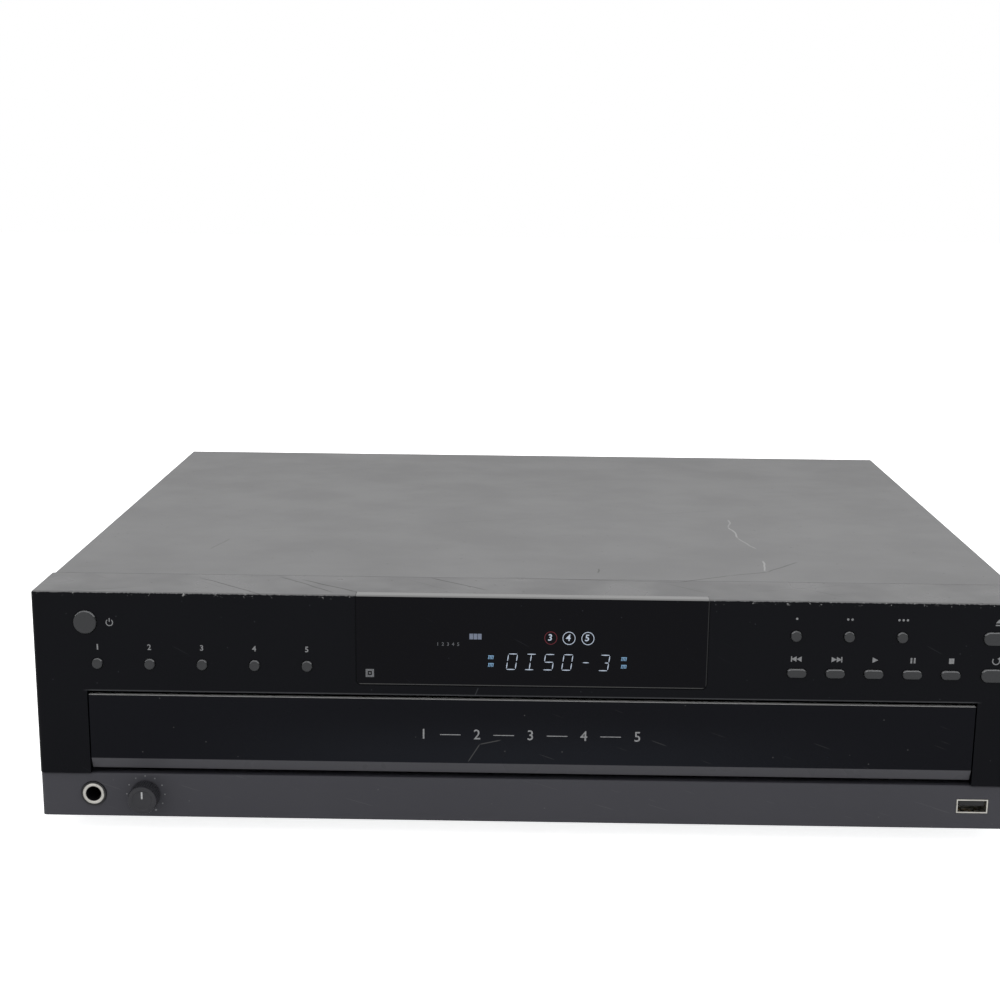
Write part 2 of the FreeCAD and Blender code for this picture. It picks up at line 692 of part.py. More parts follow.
def level_pot():
    front = FRONT + LOWER_SETBACK + LOWER_T
    width, depth, height = POT_BODY
    body = box(KNOB_X - width / 2, KNOB_X + width / 2, front, front + depth,
               LOW_ROW_Z - height / 2, LOW_ROW_Z + height / 2)
    bore = rod_y(KNOB_X, LOW_ROW_Z, front - 1, front + POT_SHAFT_L + 0.5, POT_SHAFT_R + FIT_CLEAR)
    return cut(body, [bore])


def level_knob():
    front = FRONT - KNOB_PROUD
    back = FRONT + LOWER_SETBACK - KNOB_GAP
    shaft_end = FRONT + LOWER_SETBACK + LOWER_T + POT_SHAFT_L
    half, depth, start = KNOB_MARK
    grip = rod_y(KNOB_X, LOW_ROW_Z, front, back, KNOB_R)
    grip = round_edges(grip, KNOB_EDGE_R, lambda e: e.BoundBox.YMax < front + 0.01)
    mark = box(KNOB_X - half, KNOB_X + half, front - 1, front + depth, LOW_ROW_Z + start, LOW_ROW_Z + KNOB_R)
    shaft = rod_y(KNOB_X, LOW_ROW_Z, back, shaft_end, POT_SHAFT_R)
    return cut(join([grip, shaft]), [mark])


def usb_socket():
    front = FRONT + LOWER_SETBACK
    w = USB_W / 2
    h = USB_H / 2
    t = USB_WALL
    shell = box(USB_X - w - t, USB_X + w + t, front, front + USB_DEPTH, LOW_ROW_Z - h - t, LOW_ROW_Z + h + t)
    room = box(USB_X - w, USB_X + w, front - 1, front + USB_DEPTH - 2, LOW_ROW_Z - h, LOW_ROW_Z + h)
    tongue = box(USB_X - w + 0.8, USB_X + w - 0.8, front + 1, front + USB_DEPTH - 1,
                 LOW_ROW_Z, LOW_ROW_Z + USB_TONGUE_T)
    return join([cut(shell, [room]), tongue])


def display_board():
    board = box(-X_END + 8, X_END - 8, BOARD_Y, BOARD_Y + BOARD_T, BOARD_LOW, BOARD_HIGH)
    places = list(round_places().values()) + list(pill_places().values()) + list(wide_places().values())
    places.append((POWER_X, POWER_Z))
    half = SWITCH_W / 2
    switches = [box(x - half, x + half, BOARD_Y - SWITCH_T, BOARD_Y, z - half, z + half) for x, z in places]
    return join([board] + switches)


def display_tube():
    low = (WINDOW_LOW + HEIGHT) / 2 - TUBE_H / 2
    return box(-TUBE_W / 2, TUBE_W / 2, BOARD_Y - TUBE_T, BOARD_Y, low, low + TUBE_H)


# Tray and disc table

def tray_door():
    low = DOOR_LOW + DOOR_STRIP
    points = [(FRONT + DOOR_SLOPE, DOOR_LOW), (FRONT, low), (FRONT, DOOR_HIGH), (FRONT + DOOR_T, DOOR_HIGH),
              (FRONT + DOOR_T, DOOR_LOW)]
    door = profile_x(points, -DOOR_HALF, DOOR_HALF)
    top = lambda e: e.BoundBox.YMax < FRONT + 0.01 and e.BoundBox.ZMin > DOOR_HIGH - 0.01
    return round_edges(door, DOOR_EDGE_R, top)


def tray_plan(half, z0, z1):
    # A flat of the tray: square at the front, open at the rear above the optical unit.
    front = FRONT + DOOR_T
    return box(-half, half, front, RUNNER_END, z0, z1)


def pocket_angles():
    # The first pocket waits at the rear, above the optical unit.
    return [math.pi / 2 + 2 * math.pi * i / POCKETS for i in range(POCKETS)]


def tray():
    front = FRONT + DOOR_T
    rim_r = WELL_R + TRAY_WALL
    flat = tray_plan(TRAY_HALF, TRAY_FLOOR, TABLE_TOP)
    body = join([flat, post(0, TABLE_Y, TRAY_FLOOR, TABLE_TOP, rim_r)])
    well = post(0, TABLE_Y, TRAY_TOP, TABLE_TOP + 1, WELL_R)
    under = box(-TRAY_HALF + TRAY_WALL, TRAY_HALF - TRAY_WALL, front + TRAY_WALL, RUNNER_END - TRAY_WALL,
                TRAY_TOP, TABLE_TOP - TRAY_T)
    gear_bay = post(TABLE_GEAR_X, TABLE_GEAR_Y, TRAY_TOP, TABLE_TOP - TRAY_T, TABLE_GEAR_R + GEAR_BAY)
    wall = post(0, TABLE_Y, TRAY_TOP, TABLE_TOP - TRAY_T, rim_r)
    hollow = under.cut([wall])
    body = cut(body, [well, hollow, gear_bay])
    bay = box(-BAY_HALF, BAY_HALF, BASE_FRONT - 4, TABLE_Y + rim_r + 5, TRAY_FLOOR - 1, TABLE_TOP + 1)
    runners = []
    for side in (-1, 1):
        x0, x1 = sorted((side * TRAY_HALF, side * (TRAY_HALF + RUNNER_W)))
        runners.append(box(x0, x1, front, RUNNER_END, RUNNER_Z, RUNNER_Z + RUNNER_T))
    boss = post(0, TABLE_Y, TRAY_TOP, RUNNER_Z - BOSS_GAP + HUB_SEAT, HUB_R - 4)
    teeth = int((TRAY_TRAVEL + RACK_SPARE) / (math.pi * RACK_MODULE)) + 1
    pitch_x = PINION_X - PINION_R
    first = PINION_Y - 1.5 * math.pi * RACK_MODULE
    drive = rack(pitch_x, 1, first, teeth, TRAY_FLOOR - RACK_H, TRAY_FLOOR, RACK_MODULE, pitch_x - RACK_W)
    motor_hole = post(TABLE_GEAR_X, TABLE_GEAR_Y, TRAY_FLOOR - 1, TRAY_TOP + 1, MOTOR_R + 0.2)
    shaft_hole = post(0, TABLE_Y, TRAY_FLOOR - 1, TRAY_TOP + 2, TABLE_SHAFT_R)
    shape = join([body] + runners + [boss, drive])
    return cut(shape, [bay, motor_hole, shaft_hole])


def table_shaft():
    shaft = post(0, TABLE_Y, TRAY_FLOOR, TABLE_TOP - 0.5, TABLE_SHAFT_R)
    return round_edges(shaft, 0.5, lambda e: e.BoundBox.ZMin > TABLE_TOP - 0.6)


def table_motor():
    can = post(TABLE_GEAR_X, TABLE_GEAR_Y, TRAY_FLOOR - TABLE_MOTOR_DROP, TRAY_TOP + TABLE_MOTOR_RISE,
               MOTOR_R)
    return cut(can, [post(TABLE_GEAR_X, TABLE_GEAR_Y, TRAY_TOP - 2, TRAY_TOP + 1, AXLE_R + FIT_CLEAR)])


def table_gear():
    phase = math.degrees(CORNER) + 180
    low = TRAY_TOP + 1.6
    high = TABLE_LOW + RIM_TEETH_H - RUN_CLEAR
    wheel = gear(TABLE_GEAR_X, TABLE_GEAR_Y, low, high, TABLE_MODULE, TABLE_GEAR_TEETH, phase)
    shaft = post(TABLE_GEAR_X, TABLE_GEAR_Y, TRAY_TOP - 1.6, TRAY_TOP + 2, AXLE_R)
    return join([wheel, shaft])


def carousel_table():
    # Five pockets with slots for the optical unit, and gear teeth around the edge.
    teeth_top = TABLE_LOW + RIM_TEETH_H
    disc = post(0, TABLE_Y, teeth_top, TABLE_TOP, TABLE_R)
    disc = round_edges(disc, TABLE_EDGE_R, lambda e: e.BoundBox.ZMin > TABLE_TOP - 0.01)
    phase = math.degrees(CORNER) + 180 / TABLE_TEETH
    teeth = gear(0, TABLE_Y, TABLE_LOW, teeth_top, TABLE_MODULE, TABLE_TEETH, phase)
    hub = post(0, TABLE_Y, RUNNER_Z + HUB_SEAT, TABLE_LOW, HUB_R)
    shape = join([disc, teeth, hub])
    tools = [post(0, TABLE_Y, TRAY_TOP, TABLE_TOP + 1, TABLE_SHAFT_R + FIT_CLEAR)]
    floor = TABLE_TOP - POCKET_DEPTH
    slot_end = TABLE_PITCH_R - SLOT_END
    for angle in pocket_angles():
        x, y = polar(0, TABLE_Y, POCKET_RING, angle)
        tools.append(post(x, y, floor, TABLE_TOP + 1, POCKET_R))
        tools.append(post(x, y, floor - SMALL_DEPTH, TABLE_TOP + 1, SMALL_DISC_R))
        tools.append(post(x, y, TRAY_TOP, TABLE_TOP + 1, SLOT_HALF))
        slot = box(-SLOT_HALF, SLOT_HALF, POCKET_RING, slot_end, TRAY_TOP, TABLE_TOP + 1)
        slot = slot.common(post(0, 0, TRAY_TOP, TABLE_TOP + 1, slot_end))
        slot.rotate(FreeCAD.Vector(0, 0, 0), FreeCAD.Vector(0, 0, 1), math.degrees(angle) - 90)
        slot.translate(FreeCAD.Vector(0, TABLE_Y, 0))
        tools.append(slot)
    return cut(shape, tools)


def table_cap():
    cap = post(0, TABLE_Y, TABLE_TOP, TABLE_TOP + CAP_H, CAP_R)
    return round_edges(cap, CAP_EDGE_R, lambda e: e.BoundBox.ZMin > TABLE_TOP + CAP_H - 0.01)


# Mechanism deck

def rail(side):
    # A C-shaped channel that holds one runner of the tray.
    inner = TRAY_HALF + RUN_CLEAR
    groove = TRAY_HALF + RUNNER_W + RUN_CLEAR
    outer = groove + RAIL_T
    x0, x1 = sorted((side * inner, side * outer))
    rail_front = FRONT + LOWER_SETBACK + LEDGE_DEPTH + 1
    wall = box(x0, x1, rail_front, RUNNER_END + 4, DECK_TOP, RUNNER_Z + RUNNER_T + RAIL_OVER)
    g0, g1 = sorted((side * (inner - 1), side * groove))
    channel = box(g0, g1, FRONT, RUNNER_END + 1, RUNNER_Z - RUN_CLEAR, RUNNER_Z + RUNNER_T + RUN_CLEAR)
    return cut(wall, [channel])


def loading_frame():
    # The deck that carries the rails, the gear posts, the lift's guides and the motor.
    half = TRAY_HALF + RUNNER_W + RUN_CLEAR + RAIL_T + 4
    deck = box(-half, half, FRONT + 12, BASE_REAR + 6, PLATE_TOP, DECK_TOP)
    end = BASE_REAR + 7
    z0, z1 = PLATE_TOP - 1, DECK_TOP + 1
    lift_bay = box(-LIFT_HALF - 2, LIFT_HALF + 2, LIFT_FRONT - 2, end, z0, z1)
    corner = box(-half - 1, TRANSFORMER_X1 + 2, TRANSFORMER_Y0 - 2, end, z0, z1)
    posts = [post(PINION_X, PINION_Y, PLATE_TOP, TRAY_FLOOR - 0.6, POST_R)]
    posts.append(post(DRIVER_X, DRIVER_Y, PLATE_TOP, PULLEY_LOW + PULLEY_H + DRIVER_H + 1.4, POST_R))
    for side in (-1, 1):
        posts.append(post(side * GUIDE_X, GUIDE_Y, DECK_TOP, TRAY_FLOOR - 1.2, GUIDE_R))
    rib_y = LIFT_FRONT - 2 - CAM_T - 2 * RUN_CLEAR - 1.0
    rib = box(-60, 70, rib_y - RIB_T, rib_y, DECK_TOP, DECK_TOP + RIB_H)
    motor_legs = []
    for dx in (-MOTOR_R - MOTOR_LEG_T - 0.2, MOTOR_R + 0.2):
        x = MOTOR_X + dx
        motor_legs.append(box(x, x + MOTOR_LEG_T, MOTOR_Y - MOTOR_LEG_W / 2, MOTOR_Y + MOTOR_LEG_W / 2,
                              DECK_TOP, PULLEY_LOW + PULLEY_H + 8))
    shape = join([deck.cut([lift_bay, corner]), rail(-1), rail(1), rib] + posts + motor_legs)
    under_ledge = LOWER_TOP - LEDGE_T
    phones_bay = box(-X_END, KNOB_X + 10, FRONT, FRONT + 30, PLATE_TOP - 1, under_ledge)
    usb_bay = box(USB_X - 9, X_END, FRONT, FRONT + 18, PLATE_TOP - 1, under_ledge)
    screws = [(-150.0, FRONT + 30), (60.0, FRONT + 22), (-120.0, 60.0), (120.0, 60.0)]
    screw_holes = [post(x, y, PLATE_TOP - 1, DECK_TOP + 1, DECK_SCREW_R) for x, y in screws]
    return cut(shape, [phones_bay, usb_bay] + screw_holes)


def chucking_bridge():
    y0 = SPINDLE_Y - BRIDGE_HALF_Y
    y1 = SPINDLE_Y + BRIDGE_HALF_Y
    half = BRIDGE_LEG / 2
    rib_t, rib_h = BRIDGE_RIB
    top = BRIDGE_Z + BRIDGE_T
    beam = box(-BRIDGE_POST_X - half, BRIDGE_POST_X + half, y0, y1, BRIDGE_Z, top)
    ribs = [box(-BRIDGE_POST_X, BRIDGE_POST_X, y, y + rib_t, top, top + rib_h) for y in (y0, y1 - rib_t)]
    legs = []
    for side in (-1, 1):
        x0, x1 = sorted((side * (BRIDGE_POST_X - half), side * (BRIDGE_POST_X + half)))
        legs.append(box(x0, x1, y0, y1, DECK_TOP, BRIDGE_Z))
    hole = post(0, SPINDLE_Y, BRIDGE_Z - 1, top + 1, PUCK_NECK_R + 1)
    return cut(join([beam] + ribs + legs), [hole])


def clamp_puck():
    rest = BRIDGE_Z + BRIDGE_T + RUN_CLEAR
    disc = post(0, SPINDLE_Y, PUCK_LOW, PUCK_LOW + PUCK_T, PUCK_R)
    neck = post(0, SPINDLE_Y, PUCK_LOW + PUCK_T - 1, rest + 0.1, PUCK_NECK_R)
    top = post(0, SPINDLE_Y, rest, rest + PUCK_TOP_T, PUCK_TOP_R)
    dimple = post(0, SPINDLE_Y, PUCK_LOW - 1, PUCK_LOW + PUCK_DIMPLE, CONE_R + 0.8)
    return cut(join([disc, neck, top]), [dimple])


# Loading train

def tray_pinion():
    upper = gear(PINION_X, PINION_Y, TRAY_FLOOR - RACK_H, TRAY_FLOOR - 0.5, RACK_MODULE, PINION_TEETH, 180)
    z0 = PULLEY_LOW + PULLEY_H + WHEEL_LIFT
    middle = post(PINION_X, PINION_Y, z0, TRAY_FLOOR - RACK_H, PINION_NECK_R)
    towards = math.degrees(math.atan2(DRIVER_Y - PINION_Y, DRIVER_X - PINION_X))
    lower = gear(PINION_X, PINION_Y, z0, z0 + WHEEL_T, TRAIN_MODULE, WHEEL_TEETH, towards)
    bore = post(PINION_X, PINION_Y, z0 - 1, TRAY_FLOOR, POST_R + FIT_CLEAR)
    return cut(join([upper, middle, lower]), [bore])


def pulley_gear():
    pulley = grooved(DRIVER_X, DRIVER_Y, PULLEY_R)
    towards = math.degrees(math.atan2(PINION_Y - DRIVER_Y, PINION_X - DRIVER_X))
    phase = towards + 180 / DRIVER_TEETH
    top = PULLEY_LOW + PULLEY_H
    small = gear(DRIVER_X, DRIVER_Y, top, top + DRIVER_H, TRAIN_MODULE, DRIVER_TEETH, phase)
    bore = post(DRIVER_X, DRIVER_Y, PULLEY_LOW - 1, top + DRIVER_H + 1, POST_R + FIT_CLEAR)
    return cut(join([pulley, small]), [bore])


def grooved(x, y, r):
    # A pulley whose groove holds the belt.
    top = PULLEY_LOW + PULLEY_H
    wheel = post(x, y, PULLEY_LOW, top, r + PULLEY_FLANGE)
    groove = post(x, y, PULLEY_LOW + PULLEY_WALL, top - PULLEY_WALL, r + 2 * PULLEY_FLANGE)
    return wheel.cut(groove.cut(post(x, y, PULLEY_LOW, top, r - BELT_T / 2 - RUN_CLEAR)))


def motor_pulley():
    shaft = post(MOTOR_X, MOTOR_Y, PULLEY_LOW, PULLEY_LOW + PULLEY_H + 4, AXLE_R)
    return join([grooved(MOTOR_X, MOTOR_Y, MOTOR_PULLEY_R), shaft])


def loading_motor():
    low = PULLEY_LOW + PULLEY_H + 0.5
    can = post(MOTOR_X, MOTOR_Y, low, TRAY_FLOOR - 2, MOTOR_R)
    return cut(can, [post(MOTOR_X, MOTOR_Y, low - 1, low + 4.5, AXLE_R + FIT_CLEAR)])


def belt_outline(grow, z0, z1):
    # Both pulleys and the two straight stretches between them.
    r0 = MOTOR_PULLEY_R + grow
    r1 = PULLEY_R + grow
    span = DRIVER_X - MOTOR_X
    lean = math.asin((r1 - r0) / span)
    points = []
    for side in (1, -1):
        for x, r in ((MOTOR_X, r0), (DRIVER_X, r1)):
            points.append((x - r * math.sin(lean), MOTOR_Y + side * r * math.cos(lean), z0))
    a, b, c, d = points
    web = prism([a, b, d, c], (0, 0, z1 - z0))
    return join([web, post(MOTOR_X, MOTOR_Y, z0, z1, r0), post(DRIVER_X, MOTOR_Y, z0, z1, r1)])


def loading_belt():
    z0 = PULLEY_LOW + PULLEY_WALL + RUN_CLEAR
    z1 = PULLEY_LOW + PULLEY_H - PULLEY_WALL - RUN_CLEAR
    outer = belt_outline(BELT_T / 2, z0, z1)
    return outer.cut(belt_outline(-BELT_T / 2, z0 - 1, z1 + 1))


# Optical unit shapes

def isolator_places():
    return [(x, y) for x in (-BASE_HALF + 5, BASE_HALF - 5) for y in (BASE_FRONT + 5.5, BASE_REAR - 5.5)]


def lift_frame():
    # A rectangular frame with pads under the isolators, ears on the guides and pins in the cam.
    z0, z1 = LIFT_LOW, LIFT_LOW + LIFT_T
    ring = box(-LIFT_HALF, LIFT_HALF, LIFT_FRONT, LIFT_REAR, z0, z1)
    room = box(-LIFT_HALF + LIFT_BAR, LIFT_HALF - LIFT_BAR, LIFT_FRONT + LIFT_BAR, LIFT_REAR - LIFT_BAR,
               z0 - 1, z1 + 1)
    shapes = [ring.cut(room)]
    for x, y in isolator_places():
        side = 1 if x > 0 else -1
        x0, x1 = sorted((x - side * PAD / 2, side * (LIFT_HALF - LIFT_BAR + 1)))
        shapes.append(box(x0, x1, y - PAD / 2, y + PAD / 2, z0, z1))
    for side in (-1, 1):
        x0, x1 = sorted((side * (LIFT_HALF - 1), side * (GUIDE_X + GUIDE_R + 3)))
        shapes.append(box(x0, x1, GUIDE_Y - 6, GUIDE_Y + 6, DECK_TOP + 1.2, z1))
    pin_y = LIFT_FRONT - 1 - CAM_T - RUN_CLEAR
    shapes += [rod_y(x, CAM_PIN_Z, pin_y, LIFT_FRONT + 1, CAM_PIN_R) for x in CAM_PINS]
    guides = [post(s * GUIDE_X, GUIDE_Y, z0 - 1, z1 + 1, GUIDE_R + FIT_CLEAR) for s in (-1, 1)]
    return cut(join(shapes), guides)


def cam_slider():
    # A bar with two sloping slots that lift the frame as it slides.
    y1 = LIFT_FRONT - 1.0
    y0 = y1 - CAM_T
    reach = 8.0
    x0 = CAM_PINS[0] - CAM_TRAVEL - reach
    x1 = CAM_PINS[1] + reach
    bar = box(x0, x1, y0, y1, DECK_TOP + RUN_CLEAR, TRAY_FLOOR - 0.6)
    slot_r = CAM_PIN_R + RUN_CLEAR
    tools = []
    for x in CAM_PINS:
        end = (x - CAM_TRAVEL, CAM_PIN_Z + LIFT_TRAVEL)
        length = math.hypot(CAM_TRAVEL, LIFT_TRAVEL)
        nx = slot_r * LIFT_TRAVEL / length
        nz = slot_r * CAM_TRAVEL / length
        corners = [(x + nx, CAM_PIN_Z + nz), (end[0] + nx, end[1] + nz), (end[0] - nx, end[1] - nz),
                   (x - nx, CAM_PIN_Z - nz)]
        tools.append(prism([(px, y0 - 1, pz) for px, pz in corners], (0, CAM_T + 2, 0)))
        tools.append(rod_y(x, CAM_PIN_Z, y0 - 1, y1 + 1, slot_r))
        tools.append(rod_y(end[0], end[1], y0 - 1, y1 + 1, slot_r))
    return cut(bar, tools)


def isolators():
    z0 = LIFT_LOW + LIFT_T
    pads = []
    for x, y in isolator_places():
        foot = post(x, y, z0, z0 + 3, ISOLATOR_R)
        waist = post(x, y, z0 + 3, BASE_LOW - 2, ISOLATOR_R - 1.2)
        head = post(x, y, BASE_LOW - 2, BASE_LOW, ISOLATOR_R)
        pads.append(join([foot, waist, head]))
    return Part.makeCompound(pads)


def rod_shapes():
    y0, y1 = ROD_Y
    return [rod_y(x, ROD_Z, SPINDLE_Y + y0, SPINDLE_Y + y1, ROD_R) for x in (-ROD_X, ROD_X)]


def base_plate():
    plate = box(-BASE_HALF, BASE_HALF, BASE_FRONT, BASE_REAR, BASE_LOW, BASE_LOW + BASE_T)
    window = box(-14, 14, SPINDLE_Y + 8.5, SPINDLE_Y + 80, BASE_LOW - 1, BASE_LOW + BASE_T + 1)
    hole = post(0, SPINDLE_Y, BASE_LOW - 1, BASE_LOW + BASE_T + 1, 3)
    blocks = []
    for x in (-ROD_X, ROD_X):
        for y in (SPINDLE_Y + ROD_Y[0] - 2, SPINDLE_Y + ROD_Y[1] - 2):
            blocks.append(box(x - 2.5, x + 2.5, y, y + 3.5, ROD_Z - 3, BASE_LOW))
    return cut(join([plate.cut([window, hole])] + blocks), rod_shapes())


def spindle_motor():
    can = post(0, SPINDLE_Y, BASE_LOW - 10, BASE_LOW, MOTOR_R)
    return cut(can, [post(0, SPINDLE_Y, BASE_LOW - 6, BASE_LOW + 1, AXLE_R + FIT_CLEAR)])


def spindle_platter():
    seat = post(0, SPINDLE_Y, DISC_SEAT - SEAT_T, DISC_SEAT, SEAT_R)
    nose = cone(0, SPINDLE_Y, DISC_SEAT, DISC_SEAT + SEAT_T, CONE_R, CONE_TOP_R)
    shaft = post(0, SPINDLE_Y, BASE_LOW - 5.5, DISC_SEAT - 3, AXLE_R)
    return join([seat, nose, shaft])


def guide_rods():
    return Part.makeCompound(rod_shapes())


def pickup_sled():
    lens_y = SPINDLE_Y + LENS_INNER
    y0, y1 = lens_y + SLED_Y[0], lens_y + SLED_Y[1]
    body = box(-SLED_HALF, SLED_HALF, y0, y1, ROD_Z - 3, BASE_LOW - 0.6)
    tower = box(-11, 11, lens_y - 8, lens_y + 4, BASE_LOW - 1, DISC_SEAT - 2.5)
    lens = post(0, lens_y, DISC_SEAT - 3, DISC_SEAT - 1.2, LENS_R)
    pitch = math.pi * SLED_MODULE
    behind = int((SLED_TRAVEL + 3) / pitch) + 1
    first = SLED_GEAR_Y - (behind + 0.5) * pitch
    teeth = behind + 3
    strip = rack(SLED_RACK_X, -1, first, teeth, SLED_LOW, SLED_HIGH, SLED_MODULE, SLED_RACK_X + 2)
    link = box(-SLED_HALF - 3, -SLED_HALF + 1, y0, y1, SLED_LOW, SLED_HIGH)
    rods = [rod_y(x, ROD_Z, SPINDLE_Y, SPINDLE_Y + 90, ROD_R + FIT_CLEAR) for x in (-ROD_X, ROD_X)]
    return cut(join([body, tower, lens, strip, link]), rods)


def sled_gear():
    low = SLED_LOW + 0.2
    wheel = gear(SLED_GEAR_X, SLED_GEAR_Y, low, SLED_HIGH - 0.2, SLED_MODULE, SLED_TEETH, 0)
    return join([wheel, post(SLED_GEAR_X, SLED_GEAR_Y, low - 3.4, low + 0.1, AXLE_R)])


def sled_motor():
    # A small motor hung from the base plate by an L-shaped bracket.
    top = SLED_LOW - 0.4
    x0, x1 = SLED_GEAR_X - 4, SLED_GEAR_X + 4
    end = SLED_GEAR_Y + 9.5
    can = post(SLED_GEAR_X, SLED_GEAR_Y, top - 6.8, top, SLED_MOTOR_R)
    arm = box(x0, x1, SLED_GEAR_Y, end, top - 7.8, top - 6.8)
    wall = box(x0, x1, end - 1.5, end, top - 7.8, BASE_LOW)
    bore = post(SLED_GEAR_X, SLED_GEAR_Y, top - 4.8, top + 1.2, AXLE_R + FIT_CLEAR)
    return cut(join([can, arm, wall]), [bore])


# Boards, transformer and rear sockets

def main_board():
    board = box(-40, X_END - 10, SPINDLE_Y + 5, BACK - PLATE - 0.5, MAIN_BOARD_Z, MAIN_BOARD_Z + BOARD_T)
    top = MAIN_BOARD_Z + BOARD_T
    chips = [box(20, 38, SPINDLE_Y + 40, SPINDLE_Y + 58, top, top + CHIP_T)]
    chips.append(box(70, 84, SPINDLE_Y + 30, SPINDLE_Y + 44, top, top + CHIP_T))
    chips += [post(-20 + 16 * i, SPINDLE_Y + 70, top, top + CAN_H, CAN_R) for i in range(2)]
    wall = BACK - PLATE
    stands = [box(x, x + 8, wall - 10, wall, MAIN_BOARD_Z - 2, MAIN_BOARD_Z) for x in (-30, 60, 190)]
    stands += [post(x, SPINDLE_Y + 12, BRIDGE_Z + BRIDGE_T, MAIN_BOARD_Z, 3) for x in (-30, 60, 180)]
    return join([board] + chips + stands)


def power_transformer():
    x0, x1 = TRANSFORMER_X0, TRANSFORMER_X1
    y0 = TRANSFORMER_Y0
    core = box(x0 + 6, x1 - 6, y0 + 8, y0 + 42, PLATE_TOP, PLATE_TOP + CORE_H)
    coil = box(x0 + 14, x1 - 14, y0, y0 + 50, PLATE_TOP + COIL_LOW, PLATE_TOP + COIL_HIGH)
    feet_bar = box(x0, x1, y0 + 18, y0 + 32, PLATE_TOP, PLATE_TOP + 2)
    holes = [post(x, y0 + 25, PLATE_TOP - 1, PLATE_TOP + 3, 2) for x in (x0 + 3, x1 - 3)]
    return cut(join([core, coil, feet_bar]), holes)


def line_jacks():
    top = MAIN_BOARD_Z + BOARD_T
    housing = box(JACK_X - JACK_HALF, JACK_X + JACK_HALF, BACK - PLATE - JACK_BODY, BACK - PLATE,
                  top, JACK_LOW_Z + JACK_PITCH + JACK_HALF)
    shapes = [housing]
    bores = []
    for x, z in jack_places():
        shapes.append(rod_y(x, z, BACK - PLATE - 1, BACK + JACK_PROUD, JACK_R))
        bores.append(rod_y(x, z, BACK - 6, BACK + JACK_PROUD + 1, JACK_BORE_R))
    return cut(join(shapes), bores)


def optical_out():
    top = MAIN_BOARD_Z + BOARD_T
    w = OPTICAL_W / 2
    front = BACK - PLATE - JACK_BODY
    body = box(OPTICAL_X - w, OPTICAL_X + w, front, BACK + 1, JACK_LOW_Z - w, JACK_LOW_Z + w)
    stand = box(OPTICAL_X - w, OPTICAL_X + w, front, BACK - PLATE - 1, top, JACK_LOW_Z - w + 1)
    port = box(OPTICAL_X - 3, OPTICAL_X + 3, BACK - 7, BACK + 2, JACK_LOW_Z - 3, JACK_LOW_Z + 3)
    return cut(join([body, stand]), [port])


def cord_gland():
    neck = rod_y(GLAND_X, GLAND_Z, BACK - PLATE, BACK, GLAND_R - 0.1)
    outer = rod_y(GLAND_X, GLAND_Z, BACK, BACK + GLAND_PROUD, GLAND_R + 1.8)
    outer = round_edges(outer, 1.0, lambda e: e.BoundBox.YMin > BACK + GLAND_PROUD - 0.1)
    inner = rod_y(GLAND_X, GLAND_Z, BACK - PLATE - 4, BACK - PLATE, GLAND_R + 1)
    bore = rod_y(GLAND_X, GLAND_Z, BACK - PLATE - 5, BACK + GLAND_PROUD + 1, GLAND_BORE)
    return cut(join([neck, outer, inner]), [bore])


def power_button():
    return round_button(POWER_X, POWER_Z, POWER_R)


NODES = {
    "feet": feet, "bottom_plate": bottom_plate, "rear_panel": rear_panel, "top_cover": top_cover,
    "case_screws": case_screws, "front_panel": front_panel, "lower_front_panel": lower_front_panel,
    "display_window": display_window, "display_board": display_board, "display_tube": display_tube,
    "phones_jack": phones_jack, "level_pot": level_pot, "level_knob": level_knob, "usb_socket": usb_socket,
    "power_button": power_button, "tray": tray, "tray_door": tray_door, "table_shaft": table_shaft,
    "table_motor": table_motor, "table_gear": table_gear, "carousel_table": carousel_table,
    "table_cap": table_cap, "loading_frame": loading_frame, "chucking_bridge": chucking_bridge,
    "clamp_puck": clamp_puck, "tray_pinion": tray_pinion, "pulley_gear": pulley_gear,
    "motor_pulley": motor_pulley, "loading_motor": loading_motor, "loading_belt": loading_belt,
    "lift_frame": lift_frame, "cam_slider": cam_slider, "isolators": isolators, "base_plate": base_plate,
    "spindle_motor": spindle_motor, "spindle_platter": spindle_platter, "guide_rods": guide_rods,
    "pickup_sled": pickup_sled, "sled_gear": sled_gear, "sled_motor": sled_motor, "main_board": main_board,
    "power_transformer": power_transformer, "line_jacks": line_jacks, "optical_out": optical_out,
    "cord_gland": cord_gland,
}


def main():
    os.makedirs("parts", exist_ok=True)
    shapes = {name: make() for name, make in NODES.items()}
    for name, (x, z) in round_places().items():
        shapes[name] = round_button(x, z, BUTTON_R)
    for name, (x, z) in pill_places().items():
        shapes[name] = slot_button(x, z, PILL_W, PILL_H)
    for name, (x, z) in wide_places().items():
        shapes[name] = slot_button(x, z, WIDE_W, WIDE_H)
    for name, shape in shapes.items():
        shape.exportStep(os.path.join("parts", name + ".step"))
        print(name, len(shape.Solids), "valid" if shape.isValid() else "INVALID", round(shape.Volume))
    print(len(shapes), "nodes")


main()
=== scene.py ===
import json
import math
import bmesh
import bpy
from mathutils import Matrix, Vector


